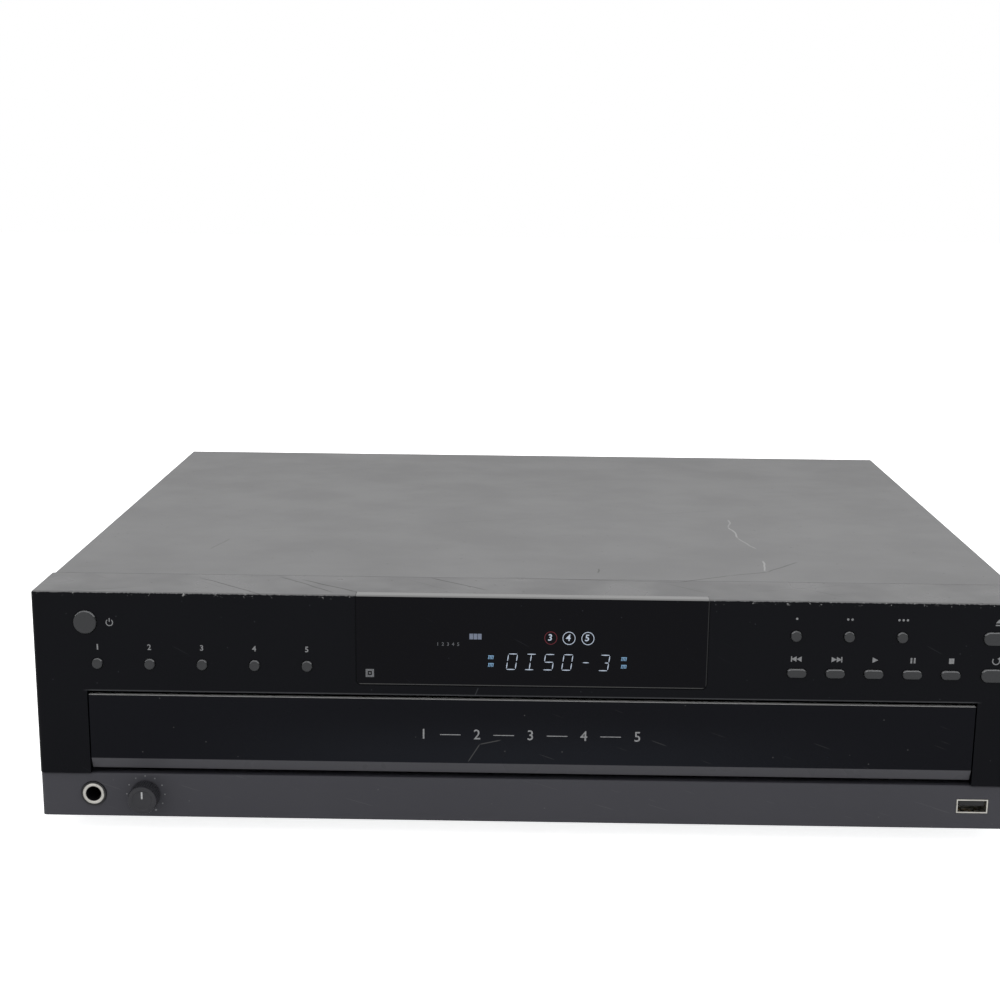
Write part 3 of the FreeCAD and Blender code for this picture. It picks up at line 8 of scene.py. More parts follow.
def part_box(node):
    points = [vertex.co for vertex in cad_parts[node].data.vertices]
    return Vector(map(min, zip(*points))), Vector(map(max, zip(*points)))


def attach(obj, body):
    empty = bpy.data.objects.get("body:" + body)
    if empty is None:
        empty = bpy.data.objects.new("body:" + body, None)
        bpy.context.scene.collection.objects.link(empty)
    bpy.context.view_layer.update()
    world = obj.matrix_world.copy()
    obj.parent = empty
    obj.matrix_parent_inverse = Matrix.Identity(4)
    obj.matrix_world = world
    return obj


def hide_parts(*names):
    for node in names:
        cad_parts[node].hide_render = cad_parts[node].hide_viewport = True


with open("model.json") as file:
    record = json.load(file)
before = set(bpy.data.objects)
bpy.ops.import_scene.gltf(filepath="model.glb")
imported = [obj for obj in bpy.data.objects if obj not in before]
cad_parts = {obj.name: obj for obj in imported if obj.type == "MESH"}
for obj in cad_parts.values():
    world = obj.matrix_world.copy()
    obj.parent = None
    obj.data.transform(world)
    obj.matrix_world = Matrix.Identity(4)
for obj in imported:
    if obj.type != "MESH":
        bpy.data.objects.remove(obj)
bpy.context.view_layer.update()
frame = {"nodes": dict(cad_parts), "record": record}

mm = 0.001
nodes = frame["nodes"]
scene = bpy.context.scene


def tone(red, green=None, blue=None):
    # screen colour from 0 to 255, made linear
    shades = [red, red if green is None else green, red if blue is None else blue]
    out = []
    for shade in shades:
        part = shade / 255
        out.append(part / 12.92 if part <= 0.04045 else ((part + 0.055) / 1.055) ** 2.4)
    return (*out, 1.0)


def newObject(name, data):
    made = bpy.data.objects.new(name, data)
    scene.collection.objects.link(made)
    return made


class Value:
    # a shader value that can be added, multiplied and compared

    def __init__(self, finish, socket):
        self.finish = finish
        self.socket = socket

    def __add__(self, other):
        return self.finish.sum("ADD", self, other)

    def __sub__(self, other):
        return self.finish.sum("SUBTRACT", self, other)

    def __rsub__(self, other):
        return self.finish.sum("SUBTRACT", other, self)

    def __mul__(self, other):
        return self.finish.sum("MULTIPLY", self, other)

    def __truediv__(self, other):
        return self.finish.sum("DIVIDE", self, other)

    def __rtruediv__(self, other):
        return self.finish.sum("DIVIDE", other, self)

    def __lt__(self, other):
        return self.finish.sum("LESS_THAN", self, other)

    def __gt__(self, other):
        return self.finish.sum("GREATER_THAN", self, other)

    def __abs__(self):
        return self.finish.sum("ABSOLUTE", self)

    __radd__ = __add__
    __rmul__ = __mul__


def most(first, second):
    return first.finish.sum("MAXIMUM", first, second)


def spread(value, low, high, first=0.0, last=1.0):
    # a smooth step from first to last, as the value goes from low to high
    return value.finish.node("ShaderNodeMapRange", {"interpolation_type": "SMOOTHSTEP"},
                             {0: value, 1: low, 2: high, 3: first, 4: last})


def band(value, base, ends):
    # the same between two places, in millimetres from a base
    return spread(value, base + ends[0] * mm, base + ends[1] * mm)


def mix(factor, first, second):
    return factor.finish.node("ShaderNodeMix", {"data_type": "RGBA"}, {0: factor, 6: first, 7: second}, 2)


def bump(height, depth, under=None):
    below = {"Normal": under} if under else {}
    values = {"Height": height, "Strength": 1.0, "Distance": depth, **below}
    return height.finish.node("ShaderNodeBump", None, values)


def inMetres(marks):
    # marks given by the millimetres of their ends, with what follows the ends
    return [[(a * mm, b * mm) for a, b in mark[:2]] + list(mark[2:]) for mark in marks]


class Finish:
    # a material and the ways of building its nodes

    def __init__(self, name, colour, roughness, specular=0.5):
        self.material = bpy.data.materials.new(name)
        self.material.use_nodes = True
        self.material.diffuse_color = colour
        self.tree = self.material.node_tree
        self.tree.nodes.clear()
        self.shader = self.tree.nodes.new("ShaderNodeBsdfPrincipled")
        self.output = self.tree.nodes.new("ShaderNodeOutputMaterial")
        self.tree.links.new(self.shader.outputs[0], self.output.inputs[0])
        self.set("Base Color", colour)
        self.set("Roughness", roughness)
        self.set("Specular IOR Level", specular)

    def set(self, socket, value):
        if isinstance(value, Value):
            self.tree.links.new(value.socket, self.shader.inputs[socket])
        else:
            self.shader.inputs[socket].default_value = value

    def dress(self, colour, rough=None, normal=None):
        # puts on what the nodes give, and returns the material
        for socket, value in (("Base Color", colour), ("Roughness", rough), ("Normal", normal)):
            if value:
                self.set(socket, value)
        return self.material

    def node(self, kind, settings=None, values=None, output=0):
        new = self.tree.nodes.new(kind)
        for key, setting in (settings or {}).items():
            setattr(new, key, setting)
        for key, value in (values or {}).items():
            if isinstance(value, Value):
                self.tree.links.new(value.socket, new.inputs[key])
            else:
                new.inputs[key].default_value = value
        return Value(self, new.outputs[output])

    def sum(self, operation, first, second=0.0):
        return self.node("ShaderNodeMath", {"operation": operation}, {0: first, 1: second})

    def place(self, scale=(1, 1, 1), turn=(0, 0, 0)):
        spot = self.node("ShaderNodeTexCoord", output="Object")
        return self.node("ShaderNodeMapping", None, {"Vector": spot, "Rotation": turn, "Scale": scale})

    def axes(self):
        spot = self.node("ShaderNodeTexCoord", output="Object")
        return [self.node("ShaderNodeSeparateXYZ", None, {0: spot}, output=i) for i in range(3)]

    def noise(self, fineness, detail=2.0, rough=0.5, spot=None, scale=(1, 1, 1)):
        return self.node("ShaderNodeTexNoise", None, {"Vector": spot or self.place(scale), "Scale": fineness,
                                                      "Detail": detail, "Roughness": rough})

    def specks(self, scale, size, share):
        # dust: round dots in a share of the cells
        cell = {"Vector": self.place(), "Scale": scale}
        near = self.node("ShaderNodeTexVoronoi", None, cell)
        pick = self.node("ShaderNodeTexVoronoi", None, cell, output="Color")
        chance = self.node("ShaderNodeSeparateXYZ", None, {0: pick})
        return spread(near, size, size * 0.5) * (chance < share)

    def hairlines(self, turn, across, along, share, offset=0.0):
        # long thin marks in one direction: noise turned first, then stretched
        spot = self.node("ShaderNodeTexCoord", output="Object")
        drawn = self.node("ShaderNodeMapping", {"vector_type": "TEXTURE"},
                          {"Vector": spot, "Location": (offset, 0, offset), "Rotation": turn,
                           "Scale": (1 / along, 1 / across, 1 / across)})
        return spread(self.noise(1.0, 1.0, 0.3, drawn), 1 - share, 1 - share * 0.8)

    def stroke(self, first, second, start, end, width):
        # one straight mark between two points of a plane
        run = (end[0] - start[0], end[1] - start[1])
        square = run[0] ** 2 + run[1] ** 2
        part = ((first - start[0]) * run[0] + (second - start[1]) * run[1]) / square
        held = self.node("ShaderNodeClamp", None, {0: part})
        offFirst = first - start[0] - held * run[0]
        offSecond = second - start[1] - held * run[1]
        gap = self.sum("SQRT", offFirst * offFirst + offSecond * offSecond)
        return spread(gap, width, width * 0.3) * spread(abs(held - 0.5), 0.5, 0.38, 0.35, 1.0)

    def wear(self, lines, lineDepth, dots, dotDepth, nicks=(), nickDepth=0.0):
        # hairlines, dust and nicks of the front in one mask, each by its depth
        marks = most(self.hairlines(*lines) * lineDepth, self.specks(*dots) * dotDepth)
        for start, end in inMetres(nicks):
            x, _, z = self.axes()
            marks = most(marks, self.stroke(x, z, start, end, 0.3 * mm) * nickDepth)
        return marks


print("finishes")


def shaded(colour, by):
    return tuple(min(1.0, part * by) for part in colour[:3]) + (1.0,)


# wear of the top: marks as (start, end) in millimetres, and how strong each is; the rear entries paint a
# sheen that fades darker towards the back
topWearAndSheen = {
    "dark": [((-147, -163), (-117, -192), 0.8), ((-111, -159), (-86, -187), 0.8),
             ((-101, -164), (-75, -186), 1.0), ((-45, -157), (-20, -179), 0.8),
             ((-153, -102), (-148, -77), 0.4), ((-14, -154), (45, -158), 0.5), ((45, -158), (66, -159), 0.5),
             ((66, -159), (89, -144), 0.7), ((89, -144), (107, -136), 0.7), ((107, -136), (124, -114), 0.7),
             ((30, -134), (29, -142), 0.6)],
    "light": [((102, -12), (101, -32), 0.6), ((101, -32), (102, -59), 0.9), ((102, -59), (108, -85), 0.6),
              ((109, -112), (106, -134), 0.9)],
    "width": 0.6, "sway": 4, "darkTone": tone(30), "lightTone": tone(190), "speckTone": tone(38),
    "smear": (0.97, 1.03), "rear": 0.83, "frontBand": (-120, -185), "rearBand": (-80, 170),
}


def topMarks(finish):
    # masks of the dark and the light marks
    x, y = finish.axes()[:2]
    sway = (finish.noise(60, 1.0) - 0.5) * topWearAndSheen["sway"] * mm
    masks = []
    for kind in ("dark", "light"):
        total = None
        for start, end, depth in inMetres(topWearAndSheen[kind]):
            mark = finish.stroke(x + sway, y, start, end, topWearAndSheen["width"] * mm) * depth
            total = mark if total is None else most(total, mark)
        masks.append(total)
    frontEdge = band(y, 0, topWearAndSheen["frontBand"])
    dark = finish.hairlines((0, 0, -0.8), 900, 16, 0.27) * frontEdge * 0.5
    faint = finish.hairlines((0, 0, 0.35), 800, 10, 0.25, 3.0) * 0.25
    return most(masks[0], most(dark, faint)), masks[1]


def topColour(finish, plain):
    # grey of the top, a painted reflection, with smears, dust and marks, and a painted sheen fading darker
    # towards the rear
    shade = spread(finish.noise(5, 2.0, 0.5, scale=(1.0, 4.5, 1.0)), 0.25, 0.75)
    low, high = [shaded(plain, by) for by in topWearAndSheen["smear"]]
    # painted sheen: the grey darkens towards the rear
    sheenFadeToRear = band(finish.axes()[1], 0, topWearAndSheen["rearBand"])
    colour = mix(sheenFadeToRear, mix(shade, low, high), shaded(plain, topWearAndSheen["rear"]))
    dark, light = topMarks(finish)
    colour = mix(finish.specks(240, 0.16, 0.10) * 0.45, colour, topWearAndSheen["speckTone"])
    colour = mix(dark * 0.95, colour, topWearAndSheen["darkTone"])
    return mix(light * 0.55, colour, topWearAndSheen["lightTone"]), dark


# the cover: its top is painted light grey as a painted reflection on the dark paint, and its sides are
# painted darker as painted shade
coverLook = {"top": tone(114, 114, 115), "side": tone(70, 70, 72), "sideBand": (-1.2, -3)}


def coverSteel():
    finish = Finish("coverSteel", coverLook["top"], 0.42, 0.3)
    colour, dark = topColour(finish, coverLook["top"])
    # the sides below the top edge are painted darker: painted shade
    side = band(finish.axes()[2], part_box("top_cover")[1].z, coverLook["sideBand"])
    grain = bump(finish.noise(2600, 1.0), 0.02 * mm)
    return finish.dress(mix(side, colour, coverLook["side"]),
                        spread(finish.noise(18, 3.0, 0.6), 0.3, 0.7, 0.4, 0.47),
                        bump(1 - dark, 0.03 * mm, grain))


# the front moulding: a grey lip, a painted reflection, over a black face, chipped along the edge between
# them; a thin painted highlight runs along its lower edge above the tray door
frontLook = {"face": tone(9, 10, 15), "cloud": tone(14, 15, 19), "lip": tone(113, 113, 114),
             "chip": tone(165), "scuff": tone(58, 60, 64), "brow": tone(72, 73, 76),
             "lipBand": (-0.55, -0.35), "ragged": 0.9, "browRise": 1.5, "browLow": (0, 0.25),
             "browHigh": (0.95, 0.6), "browEnds": (195, 190), "chipTop": (-2.4, -0.6),
             "chipFront": (1.6, 0.6),
             "wear": (((0, 0.5, 0), 1500, 50, 0.24), 0.3, (420, 0.14, 0.05), 0.6,
                      [((-22.9, 69.5), (-24.3, 65.9))], 0.7)}


def frontPlastic():
    finish = Finish("frontPlastic", frontLook["face"], 0.32, 0.08)
    x, y, z = finish.axes()
    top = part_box("front_panel")[1].z
    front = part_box("front_panel")[0].y
    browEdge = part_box("tray_door")[1].z + frontLook["browRise"] * mm
    ragged = (finish.noise(900, 2.0, 0.7, scale=(1, 0.4, 0.4)) - 0.5) * frontLook["ragged"] * mm
    # the top lip is painted grey: a painted reflection on the black plastic
    lip = band(z + ragged, top, frontLook["lipBand"])
    sheenLipColour = topColour(finish, frontLook["lip"])[0]
    patches = finish.noise(30, 2.0, 0.6)
    face = mix(spread(patches, 0.3, 0.7) * 0.35, frontLook["face"], frontLook["cloud"])
    face = mix(finish.wear(*frontLook["wear"]), face, frontLook["scuff"])
    # a thin light line just above the tray door: a painted highlight on the panel's lower edge
    brow = finish.sum("MINIMUM", band(z, browEdge, frontLook["browLow"]),
                      band(z, browEdge, frontLook["browHigh"]))
    face = mix(brow * band(abs(x), 0, frontLook["browEnds"]) * 0.75, face, frontLook["brow"])
    edge = band(z, top, frontLook["chipTop"]) * band(y, front, frontLook["chipFront"])
    chips = spread(finish.noise(520, 3.0, 0.7), 0.62, 0.68) * edge
    colour = mix(lip, face, sheenLipColour)
    return finish.dress(mix(chips * 0.8, colour, frontLook["chip"]),
                        spread(patches, 0.3, 0.7, 0.26, 0.4), bump(finish.noise(3200, 1.0), 0.008 * mm))


# the tray door: near black, greyer low in the middle, with a grey strip and a painted highlight along its
# upper edge
doorLook = {"face": tone(11, 12, 18), "low": tone(22, 24, 30), "strip": tone(80, 80, 84), "scuff": tone(92),
            "top": tone(165), "stripBand": (5.15, 4.9), "riseBand": (30, 5), "riseEnds": (190, 20),
            "crestTop": (-0.25, -0.1), "crestBack": (-0.9, -1.5),
            "wear": (((0, 0.35, 0), 1400, 45, 0.24, 5.0), 0.25, (360, 0.13, 0.06), 0.6,
                     [((-27, 36), (-22, 44)), ((-22, 44), (-13, 46))], 0.6)}


def doorPlastic():
    finish = Finish("doorPlastic", doorLook["face"], 0.3, 0.08)
    x, y, z = finish.axes()
    low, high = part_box("tray_door")
    strip = band(z, low.z, doorLook["stripBand"])
    rise = band(z, low.z, doorLook["riseBand"]) * band(abs(x), 0, doorLook["riseEnds"])
    face = mix(rise, doorLook["face"], doorLook["low"])
    face = mix(finish.wear(*doorLook["wear"]), face, doorLook["scuff"])
    # the door's top face is painted light: a painted highlight
    highlightCrest = band(z, high.z, doorLook["crestTop"]) * band(y, high.y, doorLook["crestBack"])
    face = mix(highlightCrest, face, doorLook["top"])
    return finish.dress(mix(strip, face, doorLook["strip"]),
                        spread(finish.noise(22, 3.0, 0.6), 0.3, 0.7, 0.24, 0.38),
                        bump(finish.noise(3200, 1.0), 0.008 * mm))


# the lower panel, with its ledge behind the tray door painted dark as painted shade
lowerLook = {"plain": tone(69, 69, 74), "low": tone(68, 68, 73), "high": tone(70, 70, 75),
             "ledge": tone(58, 58, 64), "worn": tone(108), "ledgeTop": (-0.35, -0.2),
             "ledgeFront": (0.5, 0.8),
             "wear": (((0, 0.3, 0), 1500, 60, 0.24), 0.2, (300, 0.12, 0.06), 0.4)}


def lowerPlastic():
    finish = Finish("lowerPlastic", lowerLook["plain"], 0.42, 0.12)
    low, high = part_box("lower_front_panel")
    y, z = finish.axes()[1:]
    shade = spread(finish.noise(12, 2.0, 0.5), 0.3, 0.7)
    face = mix(shade, lowerLook["low"], lowerLook["high"])
    face = mix(finish.wear(*lowerLook["wear"]), face, lowerLook["worn"])
    # the ledge in the gap behind the tray door is painted dark: painted shade
    ledge = band(z, high.z, lowerLook["ledgeTop"]) * band(y, low.y, lowerLook["ledgeFront"])
    return finish.dress(mix(ledge, face, lowerLook["ledge"]), spread(shade, 0.0, 1.0, 0.4, 0.46),
                        bump(finish.noise(2400, 2.0), 0.012 * mm))


# the display window: dark acrylic with dust and hairlines, painted highlights along its lower and right
# edges, and a painted reflection on its top return
windowLook = {"face": tone(6, 6, 11), "dust": tone(60, 62, 68), "edge": tone(84), "top": tone(131),
              "sillBand": (0.42, 0.22), "rightBand": (-0.35, -0.18), "topBand": (-0.6, -0.4),
              "wear": (((0, 0.5, 0), 1600, 60, 0.23, 2.0), 0.2, (420, 0.12, 0.05), 0.6)}


def windowAcrylic():
    finish = Finish("windowAcrylic", windowLook["face"], 0.12, 0.08)
    x, _, z = finish.axes()
    low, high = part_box("display_window")
    face = mix(finish.wear(*windowLook["wear"]), windowLook["face"], windowLook["dust"])
    # light lines along the lower and right edges: painted highlights
    sillHighlight = band(z, low.z, windowLook["sillBand"]) * 0.8
    right = band(x, high.x, windowLook["rightBand"]) * 0.4
    face = mix(most(sillHighlight, right), face, windowLook["edge"])
    # the top return painted light: a painted reflection
    top = band(z, high.z, windowLook["topBand"])
    return finish.dress(mix(top, face, windowLook["top"]),
                        spread(finish.noise(40, 2.0), 0.3, 0.7, 0.08, 0.2))


def moulded(name, colour, rough, worn, grain=0.02, scale=1800, specular=0.4, scratch=0.24, metal=0.0,
            cloud=0.12):
    # a moulded or painted surface: cloudy tone, fine scratches, dust and a grain
    finish = Finish(name, colour, rough, specular)
    finish.set("Metallic", metal)
    clouds = spread(finish.noise(35, 3.0, 0.6), 0.3, 0.7)
    shade = mix(clouds, shaded(colour, 1 - cloud), shaded(colour, 1 + cloud))
    marks = finish.wear(((0.4, 0.8, 0.5), 1300, 60, scratch), 0.4, (500, 0.13, 0.05), 0.5)
    return finish.dress(mix(marks, shade, worn), spread(clouds, 0.0, 1.0, rough - 0.06, rough + 0.06),
                        bump(finish.noise(scale, 2.0), grain * mm))


def buttonPlastic(name, colour, rough, worn, specular):
    return moulded(name, colour, rough, worn, 0.004, 2400, specular, 0.2, cloud=0.05)


def sheetMetal(name, colour, rough, spangle, brushed=None):
    # zinc or bright steel, with spangles or a brushed grain
    finish = Finish(name, colour, rough)
    finish.set("Metallic", 1.0)
    cells = finish.node("ShaderNodeTexVoronoi", None, {"Vector": finish.place(), "Scale": spangle},
                        output="Color")
    shade = finish.node("ShaderNodeSeparateXYZ", None, {0: cells})
    worn = spread(shade, 0.0, 1.0) * 0.45
    grain = bump(finish.noise(1.0, 1.0, scale=brushed), 0.004 * mm) if brushed else None
    return finish.dress(mix(worn, colour, shaded(colour, 0.82)),
                        spread(shade, 0.0, 1.0, rough, rough + 0.16), grain)


boardTones = {"mask": tone(38, 84, 52), "dark": tone(34, 76, 47), "track": tone(66, 120, 74),
              "pad": tone(176, 178, 172)}


def boardGreen(name, turn=(0, 0, 0)):
    finish = Finish(name, boardTones["mask"], 0.35)
    tracks = finish.node("ShaderNodeTexBrick", {"offset": 0.37, "squash": 1.0},
                         {"Vector": finish.place(turn=turn), "Scale": 90.0, "Mortar Size": 0.05,
                          "Color1": boardTones["mask"], "Color2": boardTones["dark"],
                          "Mortar": boardTones["track"]})
    return finish.dress(mix(finish.specks(330, 0.24, 0.35), tracks, boardTones["pad"]),
                        normal=bump(finish.noise(700, 2.0), 0.02 * mm))


ironTones = {"plain": tone(74, 66, 58), "sheet": tone(84, 76, 68), "gap": tone(46, 42, 40),
             "rust": tone(112, 74, 48)}


def laminatedIron():
    # the transformer's stacked iron, varnished
    finish = Finish("laminatedIron", ironTones["plain"], 0.45)
    finish.set("Metallic", 0.6)
    sheets = finish.node("ShaderNodeTexWave", {"wave_type": "BANDS", "bands_direction": "Z"},
                         {"Vector": finish.place(), "Scale": 160.0, "Distortion": 0.4})
    rust = spread(finish.noise(160, 4.0, 0.7), 0.55, 0.75)
    shade = mix(sheets * 0.5, ironTones["sheet"], ironTones["gap"])
    return finish.dress(mix(rust * 0.6, shade, ironTones["rust"]), normal=bump(sheets, 0.1 * mm))


def glow(name, colour):
    # a lit part of the display
    finish = Finish(name, tone(30), 0.5, 0.1)
    uneven = spread(finish.noise(1500, 1.0), 0.2, 0.8)
    finish.set("Emission Color", mix(uneven, shaded(colour, 0.8), colour))
    finish.set("Emission Strength", 1.0)
    return finish.material


def ink(name, colour):
    finish = Finish(name, colour, 0.6, 0.2)
    worn = spread(finish.noise(2200, 2.0), 0.3, 0.62)
    return finish.dress(mix(worn, shaded(colour, 0.7), colour))


ways = {
    moulded: {
        "tubeGlass": (tone(30, 32, 36), 0.1, tone(60), 0.002, 600, 0.5, 0.2),
        "screwBlack": (tone(44, 44, 46), 0.3, tone(150), 0.006, 2200, 0.6, 0.25, 0.7),
        "footPlastic": (tone(34, 34, 36), 0.5, tone(84), 0.03, 1400),
        "mechPlastic": (tone(42, 43, 45), 0.46, tone(92), 0.02, 1500),
        "gearPlastic": (tone(196, 192, 180), 0.4, tone(224), 0.01, 1800),
        "softRubber": (tone(24, 24, 25), 0.78, tone(60), 0.04, 1600, 0.3),
        "platterPlastic": (tone(30, 30, 31), 0.5, tone(74), 0.02, 1700),
        "sledPlastic": (tone(52, 53, 56), 0.44, tone(96), 0.02, 1700),
        "socketBlack": (tone(28, 28, 30), 0.4, tone(80), 0.01, 1700),
        "knobPlastic": (tone(44, 44, 48), 0.4, tone(96), 0.01, 1900, 0.35),
        "coilTape": (tone(206, 164, 60), 0.5, tone(150, 112, 40), 0.05, 260, 0.4),
        "capSleeve": (tone(26, 34, 74), 0.35, tone(70, 78, 110), 0.01, 900),
        "labelSilver": (tone(186, 188, 190), 0.45, tone(150), 0.006, 900),
        "lensGlass": (tone(70, 60, 120), 0.06, tone(110, 100, 150), 0.001, 900, 0.9, 0.2),
        "leadBlue": (tone(36, 70, 150), 0.4, tone(90, 110, 170), 0.01, 900),
        "leadYellow": (tone(208, 180, 48), 0.4, tone(220, 200, 110), 0.01, 900),
        "redInsert": (tone(168, 34, 32), 0.4, tone(200), 0.01, 1600),
        "whiteInsert": (tone(214, 213, 208), 0.4, tone(240), 0.01, 1600),
    },
    buttonPlastic: {
        "buttonPlastic": (tone(50, 51, 53), 0.36, tone(110), 0.3),
        # a lighter finish for the caps' upward faces: a painted highlight
        "buttonEdge": (tone(132, 133, 135), 0.34, tone(150), 0.4),
    },
    sheetMetal: {
        "zincSheet": (tone(168, 172, 176), 0.34, 130.0),
        "brightSteel": (tone(190, 192, 194), 0.2, 260.0, (40, 900, 40)),
        "motorCan": (tone(172, 172, 170), 0.28, 200.0, (60, 60, 700)),
        "socketMetal": (tone(196, 194, 188), 0.22, 300.0),
        "contactGold": (tone(212, 172, 84), 0.24, 400.0),
    },
    boardGreen: {"boardGreen": (), "boardUpright": ((math.pi / 2, 0, 0),)},
    ink: {
        "panelInk": (tone(138, 139, 141),),
        "doorInk": (tone(150, 151, 153),),
        "markInk": (tone(112, 113, 116),),
        "whiteInk": (tone(196, 197, 198),),
        "tableInk": (tone(150, 150, 152),),
    },
    glow: {
        "litWhite": (tone(186, 198, 214),),
        "litBlue": (tone(120, 158, 190),),
        "litRed": (tone(104, 30, 42),),
        "litDim": (tone(92, 94, 98),),
        "litBlock": (tone(112, 120, 138),),
    },
}
finishes = {name: way(name, *values) for way, named in ways.items() for name, values in named.items()}
for way in (coverSteel, frontPlastic, doorPlastic, lowerPlastic, windowAcrylic, laminatedIron):
    finishes[way.__name__] = way()
renamed = {"zinc_steel": "zincSheet", "display_glass": "tubeGlass", "board": "boardGreen",
           "mechanism_plastic": "mechPlastic", "transformer_iron": "laminatedIron"}


def slotFinish(slot):
    # the finish of a slot has the slot's name, but for the few renamed
    first, *rest = slot.split("_")
    return renamed.get(slot, first + "".join(word.title() for word in rest))


for part in frame["record"]["subparts"]:
    node = nodes[part["node"]]
    chosen = "doorPlastic" if part["node"] == "tray_door" else slotFinish(part["material_slot"])
    if not node.material_slots:
        node.data.materials.append(None)
    for holder in node.material_slots:
        holder.material = finishes[chosen]

print("camera and lights")
view = {"place": (-0.00423, -0.94848, 0.29114), "turn": 0.0125, "tilt": 0.25738, "roll": 0.01074,
        "lens": 65.667, "shift": 0.138}
lens = bpy.data.cameras.new("camera")
lens.lens = view["lens"]
lens.shift_y = view["shift"]
lens.clip_end = 50
camera = newObject("camera", lens)
camera.matrix_world = (Matrix.Translation(view["place"]) @ Matrix.Rotation(view["turn"], 4, "Z")
                       @ Matrix.Rotation(math.pi / 2 - view["tilt"], 4, "X")
                       @ Matrix.Rotation(view["roll"], 4, "Z"))
scene.camera = camera
scene.view_settings.view_transform = "Standard"

light = {"world": 0.84, "seen": 1.0, "lamps": [((-0.5, -0.5, 1.0), 0.30), ((0.6, 0.2, 1.0), 0.22)],
         "spread": 1.2, "floor": 6, "lift": 0.8, "mirrored": 0.12}
world = bpy.data.worlds.new("studio")
scene.world = world
world.use_nodes = True
worldTree = world.node_tree
path = worldTree.nodes.new("ShaderNodeLightPath")
strength = worldTree.nodes.new("ShaderNodeMapRange")
strength.inputs[3].default_value = light["world"]
strength.inputs[4].default_value = light["seen"]
worldTree.links.new(path.outputs["Is Camera Ray"], strength.inputs[0])
worldTree.links.new(strength.outputs[0], worldTree.nodes["Background"].inputs["Strength"])
worldTree.nodes["Background"].inputs["Color"].default_value = (1, 1, 1, 1)
for i, (spot, power) in enumerate(light["lamps"]):
    lamp = bpy.data.lights.new(f"softLamp{i}", "SUN")
    lamp.angle = light["spread"]
    lamp.energy = power
    holder = newObject(f"softLamp{i}", lamp)
    holder.matrix_world = (-Vector(spot)).to_track_quat("-Z", "Y").to_matrix().to_4x4()

paper = Finish("paperFloor", (0.94, 0.94, 0.94, 1), 0.9, 0.0)
paper.set("Base Color", mix(paper.noise(6, 2.0), (0.935, 0.935, 0.935, 1), (0.945, 0.945, 0.945, 1)))
cameraRay = paper.node("ShaderNodeLightPath", output="Is Camera Ray")
glossyRay = paper.node("ShaderNodeLightPath", output="Is Glossy Ray")
paper.set("Emission Color", (1, 1, 1, 1))
paper.set("Emission Strength", cameraRay * light["lift"] + glossyRay * light["mirrored"])
ground = bmesh.new()
bmesh.ops.create_grid(ground, x_segments=1, y_segments=1, size=light["floor"])
floorMesh = bpy.data.meshes.new("floor")
ground.to_mesh(floorMesh)
ground.free()
floorMesh.materials.append(paper.material)
floor = newObject("floor", floorMesh)

# ways of making pieces, with outlines in millimetres

facing = Matrix.Rotation(math.pi / 2, 4, "X")       # laid-out shapes turned to face forward
behind = facing @ Matrix.Rotation(math.pi, 4, "X")  # and to face backward
level = Matrix.Identity(4)
across = Matrix.Rotation(math.pi / 2, 4, "Z")
whole = 2 * math.pi


def at(x, y, z):
    return Vector((x * mm, y * mm, z * mm))


def middle(name):
    low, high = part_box(name)
    return (Vector(low) + Vector(high)) / 2


def addPiece(name, form, finish, bend=0.6, body="chassis", stands=(), highlightCrown=None):
    # one named object of the form, on its body; the second finish is a painted highlight on the faces that
    # look up
    bmesh.ops.remove_doubles(form, verts=form.verts, dist=1e-7)
    bmesh.ops.recalc_face_normals(form, faces=form.faces)
    for side in form.faces:
        side.smooth = True
        if highlightCrown and side.normal.z > 0.5:
            side.material_index = 1
    mesh = bpy.data.meshes.new(name)
    form.to_mesh(mesh)
    form.free()
    mesh.set_sharp_from_angle(angle=bend)
    mesh.materials.append(finishes[finish])
    if highlightCrown:
        mesh.materials.append(finishes[highlightCrown])
    piece = newObject(name, mesh)
    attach(piece, body)
    if stands:
        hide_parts(*stands)


def lathe(form, outline, centre, axis=(0, 0, 1), steps=48):
    # turns (radius, height) points about an axis through centre
    centre, axis = Vector(centre), Vector(axis)
    side = Vector((0, 0, 1)) if abs(axis.x) > 0.5 else Vector((1, 0, 0))
    points = [form.verts.new(centre + side * r * mm + axis * h * mm) for r, h in outline]
    edges = [form.edges.new(pair) for pair in zip(points, points[1:])]
    bmesh.ops.spin(form, geom=points + edges, cent=centre, axis=axis, angle=whole, steps=steps,
                   use_merge=True)


def block(form, low, high, edge=0.0):
    # a box between two corners, with its edges eased
    low, high = Vector(low), Vector(high)
    made = bmesh.ops.create_cube(form, size=1.0)["verts"]
    bmesh.ops.scale(form, vec=high - low, verts=made)
    bmesh.ops.translate(form, vec=(low + high) / 2, verts=made)
    if edge:
        edges = list({e for v in made for e in v.link_edges})
        bmesh.ops.bevel(form, geom=edges, offset=edge, affect="EDGES", segments=2, profile=0.5, material=-1)


def pill(form, place, reach, rise, near, far, turned, edge=0.0, steps=32, rounds=2):
    # a round-ended bar: half length reach, half width rise, from near to far along its plane's normal
    made = bmesh.ops.create_circle(form, cap_ends=True, segments=steps, radius=rise * mm)["verts"]
    for v in made:
        if abs(v.co.x) > 1e-7:
            v.co.x += math.copysign((reach - rise) * mm, v.co.x)
    laid = Matrix.Translation(place) @ turned @ Matrix.Translation((0, 0, near * mm))
    bmesh.ops.transform(form, matrix=laid, verts=made)
    face = list({f for v in made for f in v.link_faces})
    drawn = bmesh.ops.extrude_face_region(form, geom=face)["geom"]
    moved = [v for v in drawn if isinstance(v, bmesh.types.BMVert)]
    bmesh.ops.translate(form, vec=turned.to_3x3() @ Vector((0, 0, (far - near) * mm)), verts=moved)
    if edge:
        rim = [e for e in form.edges if all(v in moved for v in e.verts)]
        bmesh.ops.bevel(form, geom=rim, offset=edge * mm, affect="EDGES", segments=rounds, profile=0.5,
                        material=-1)


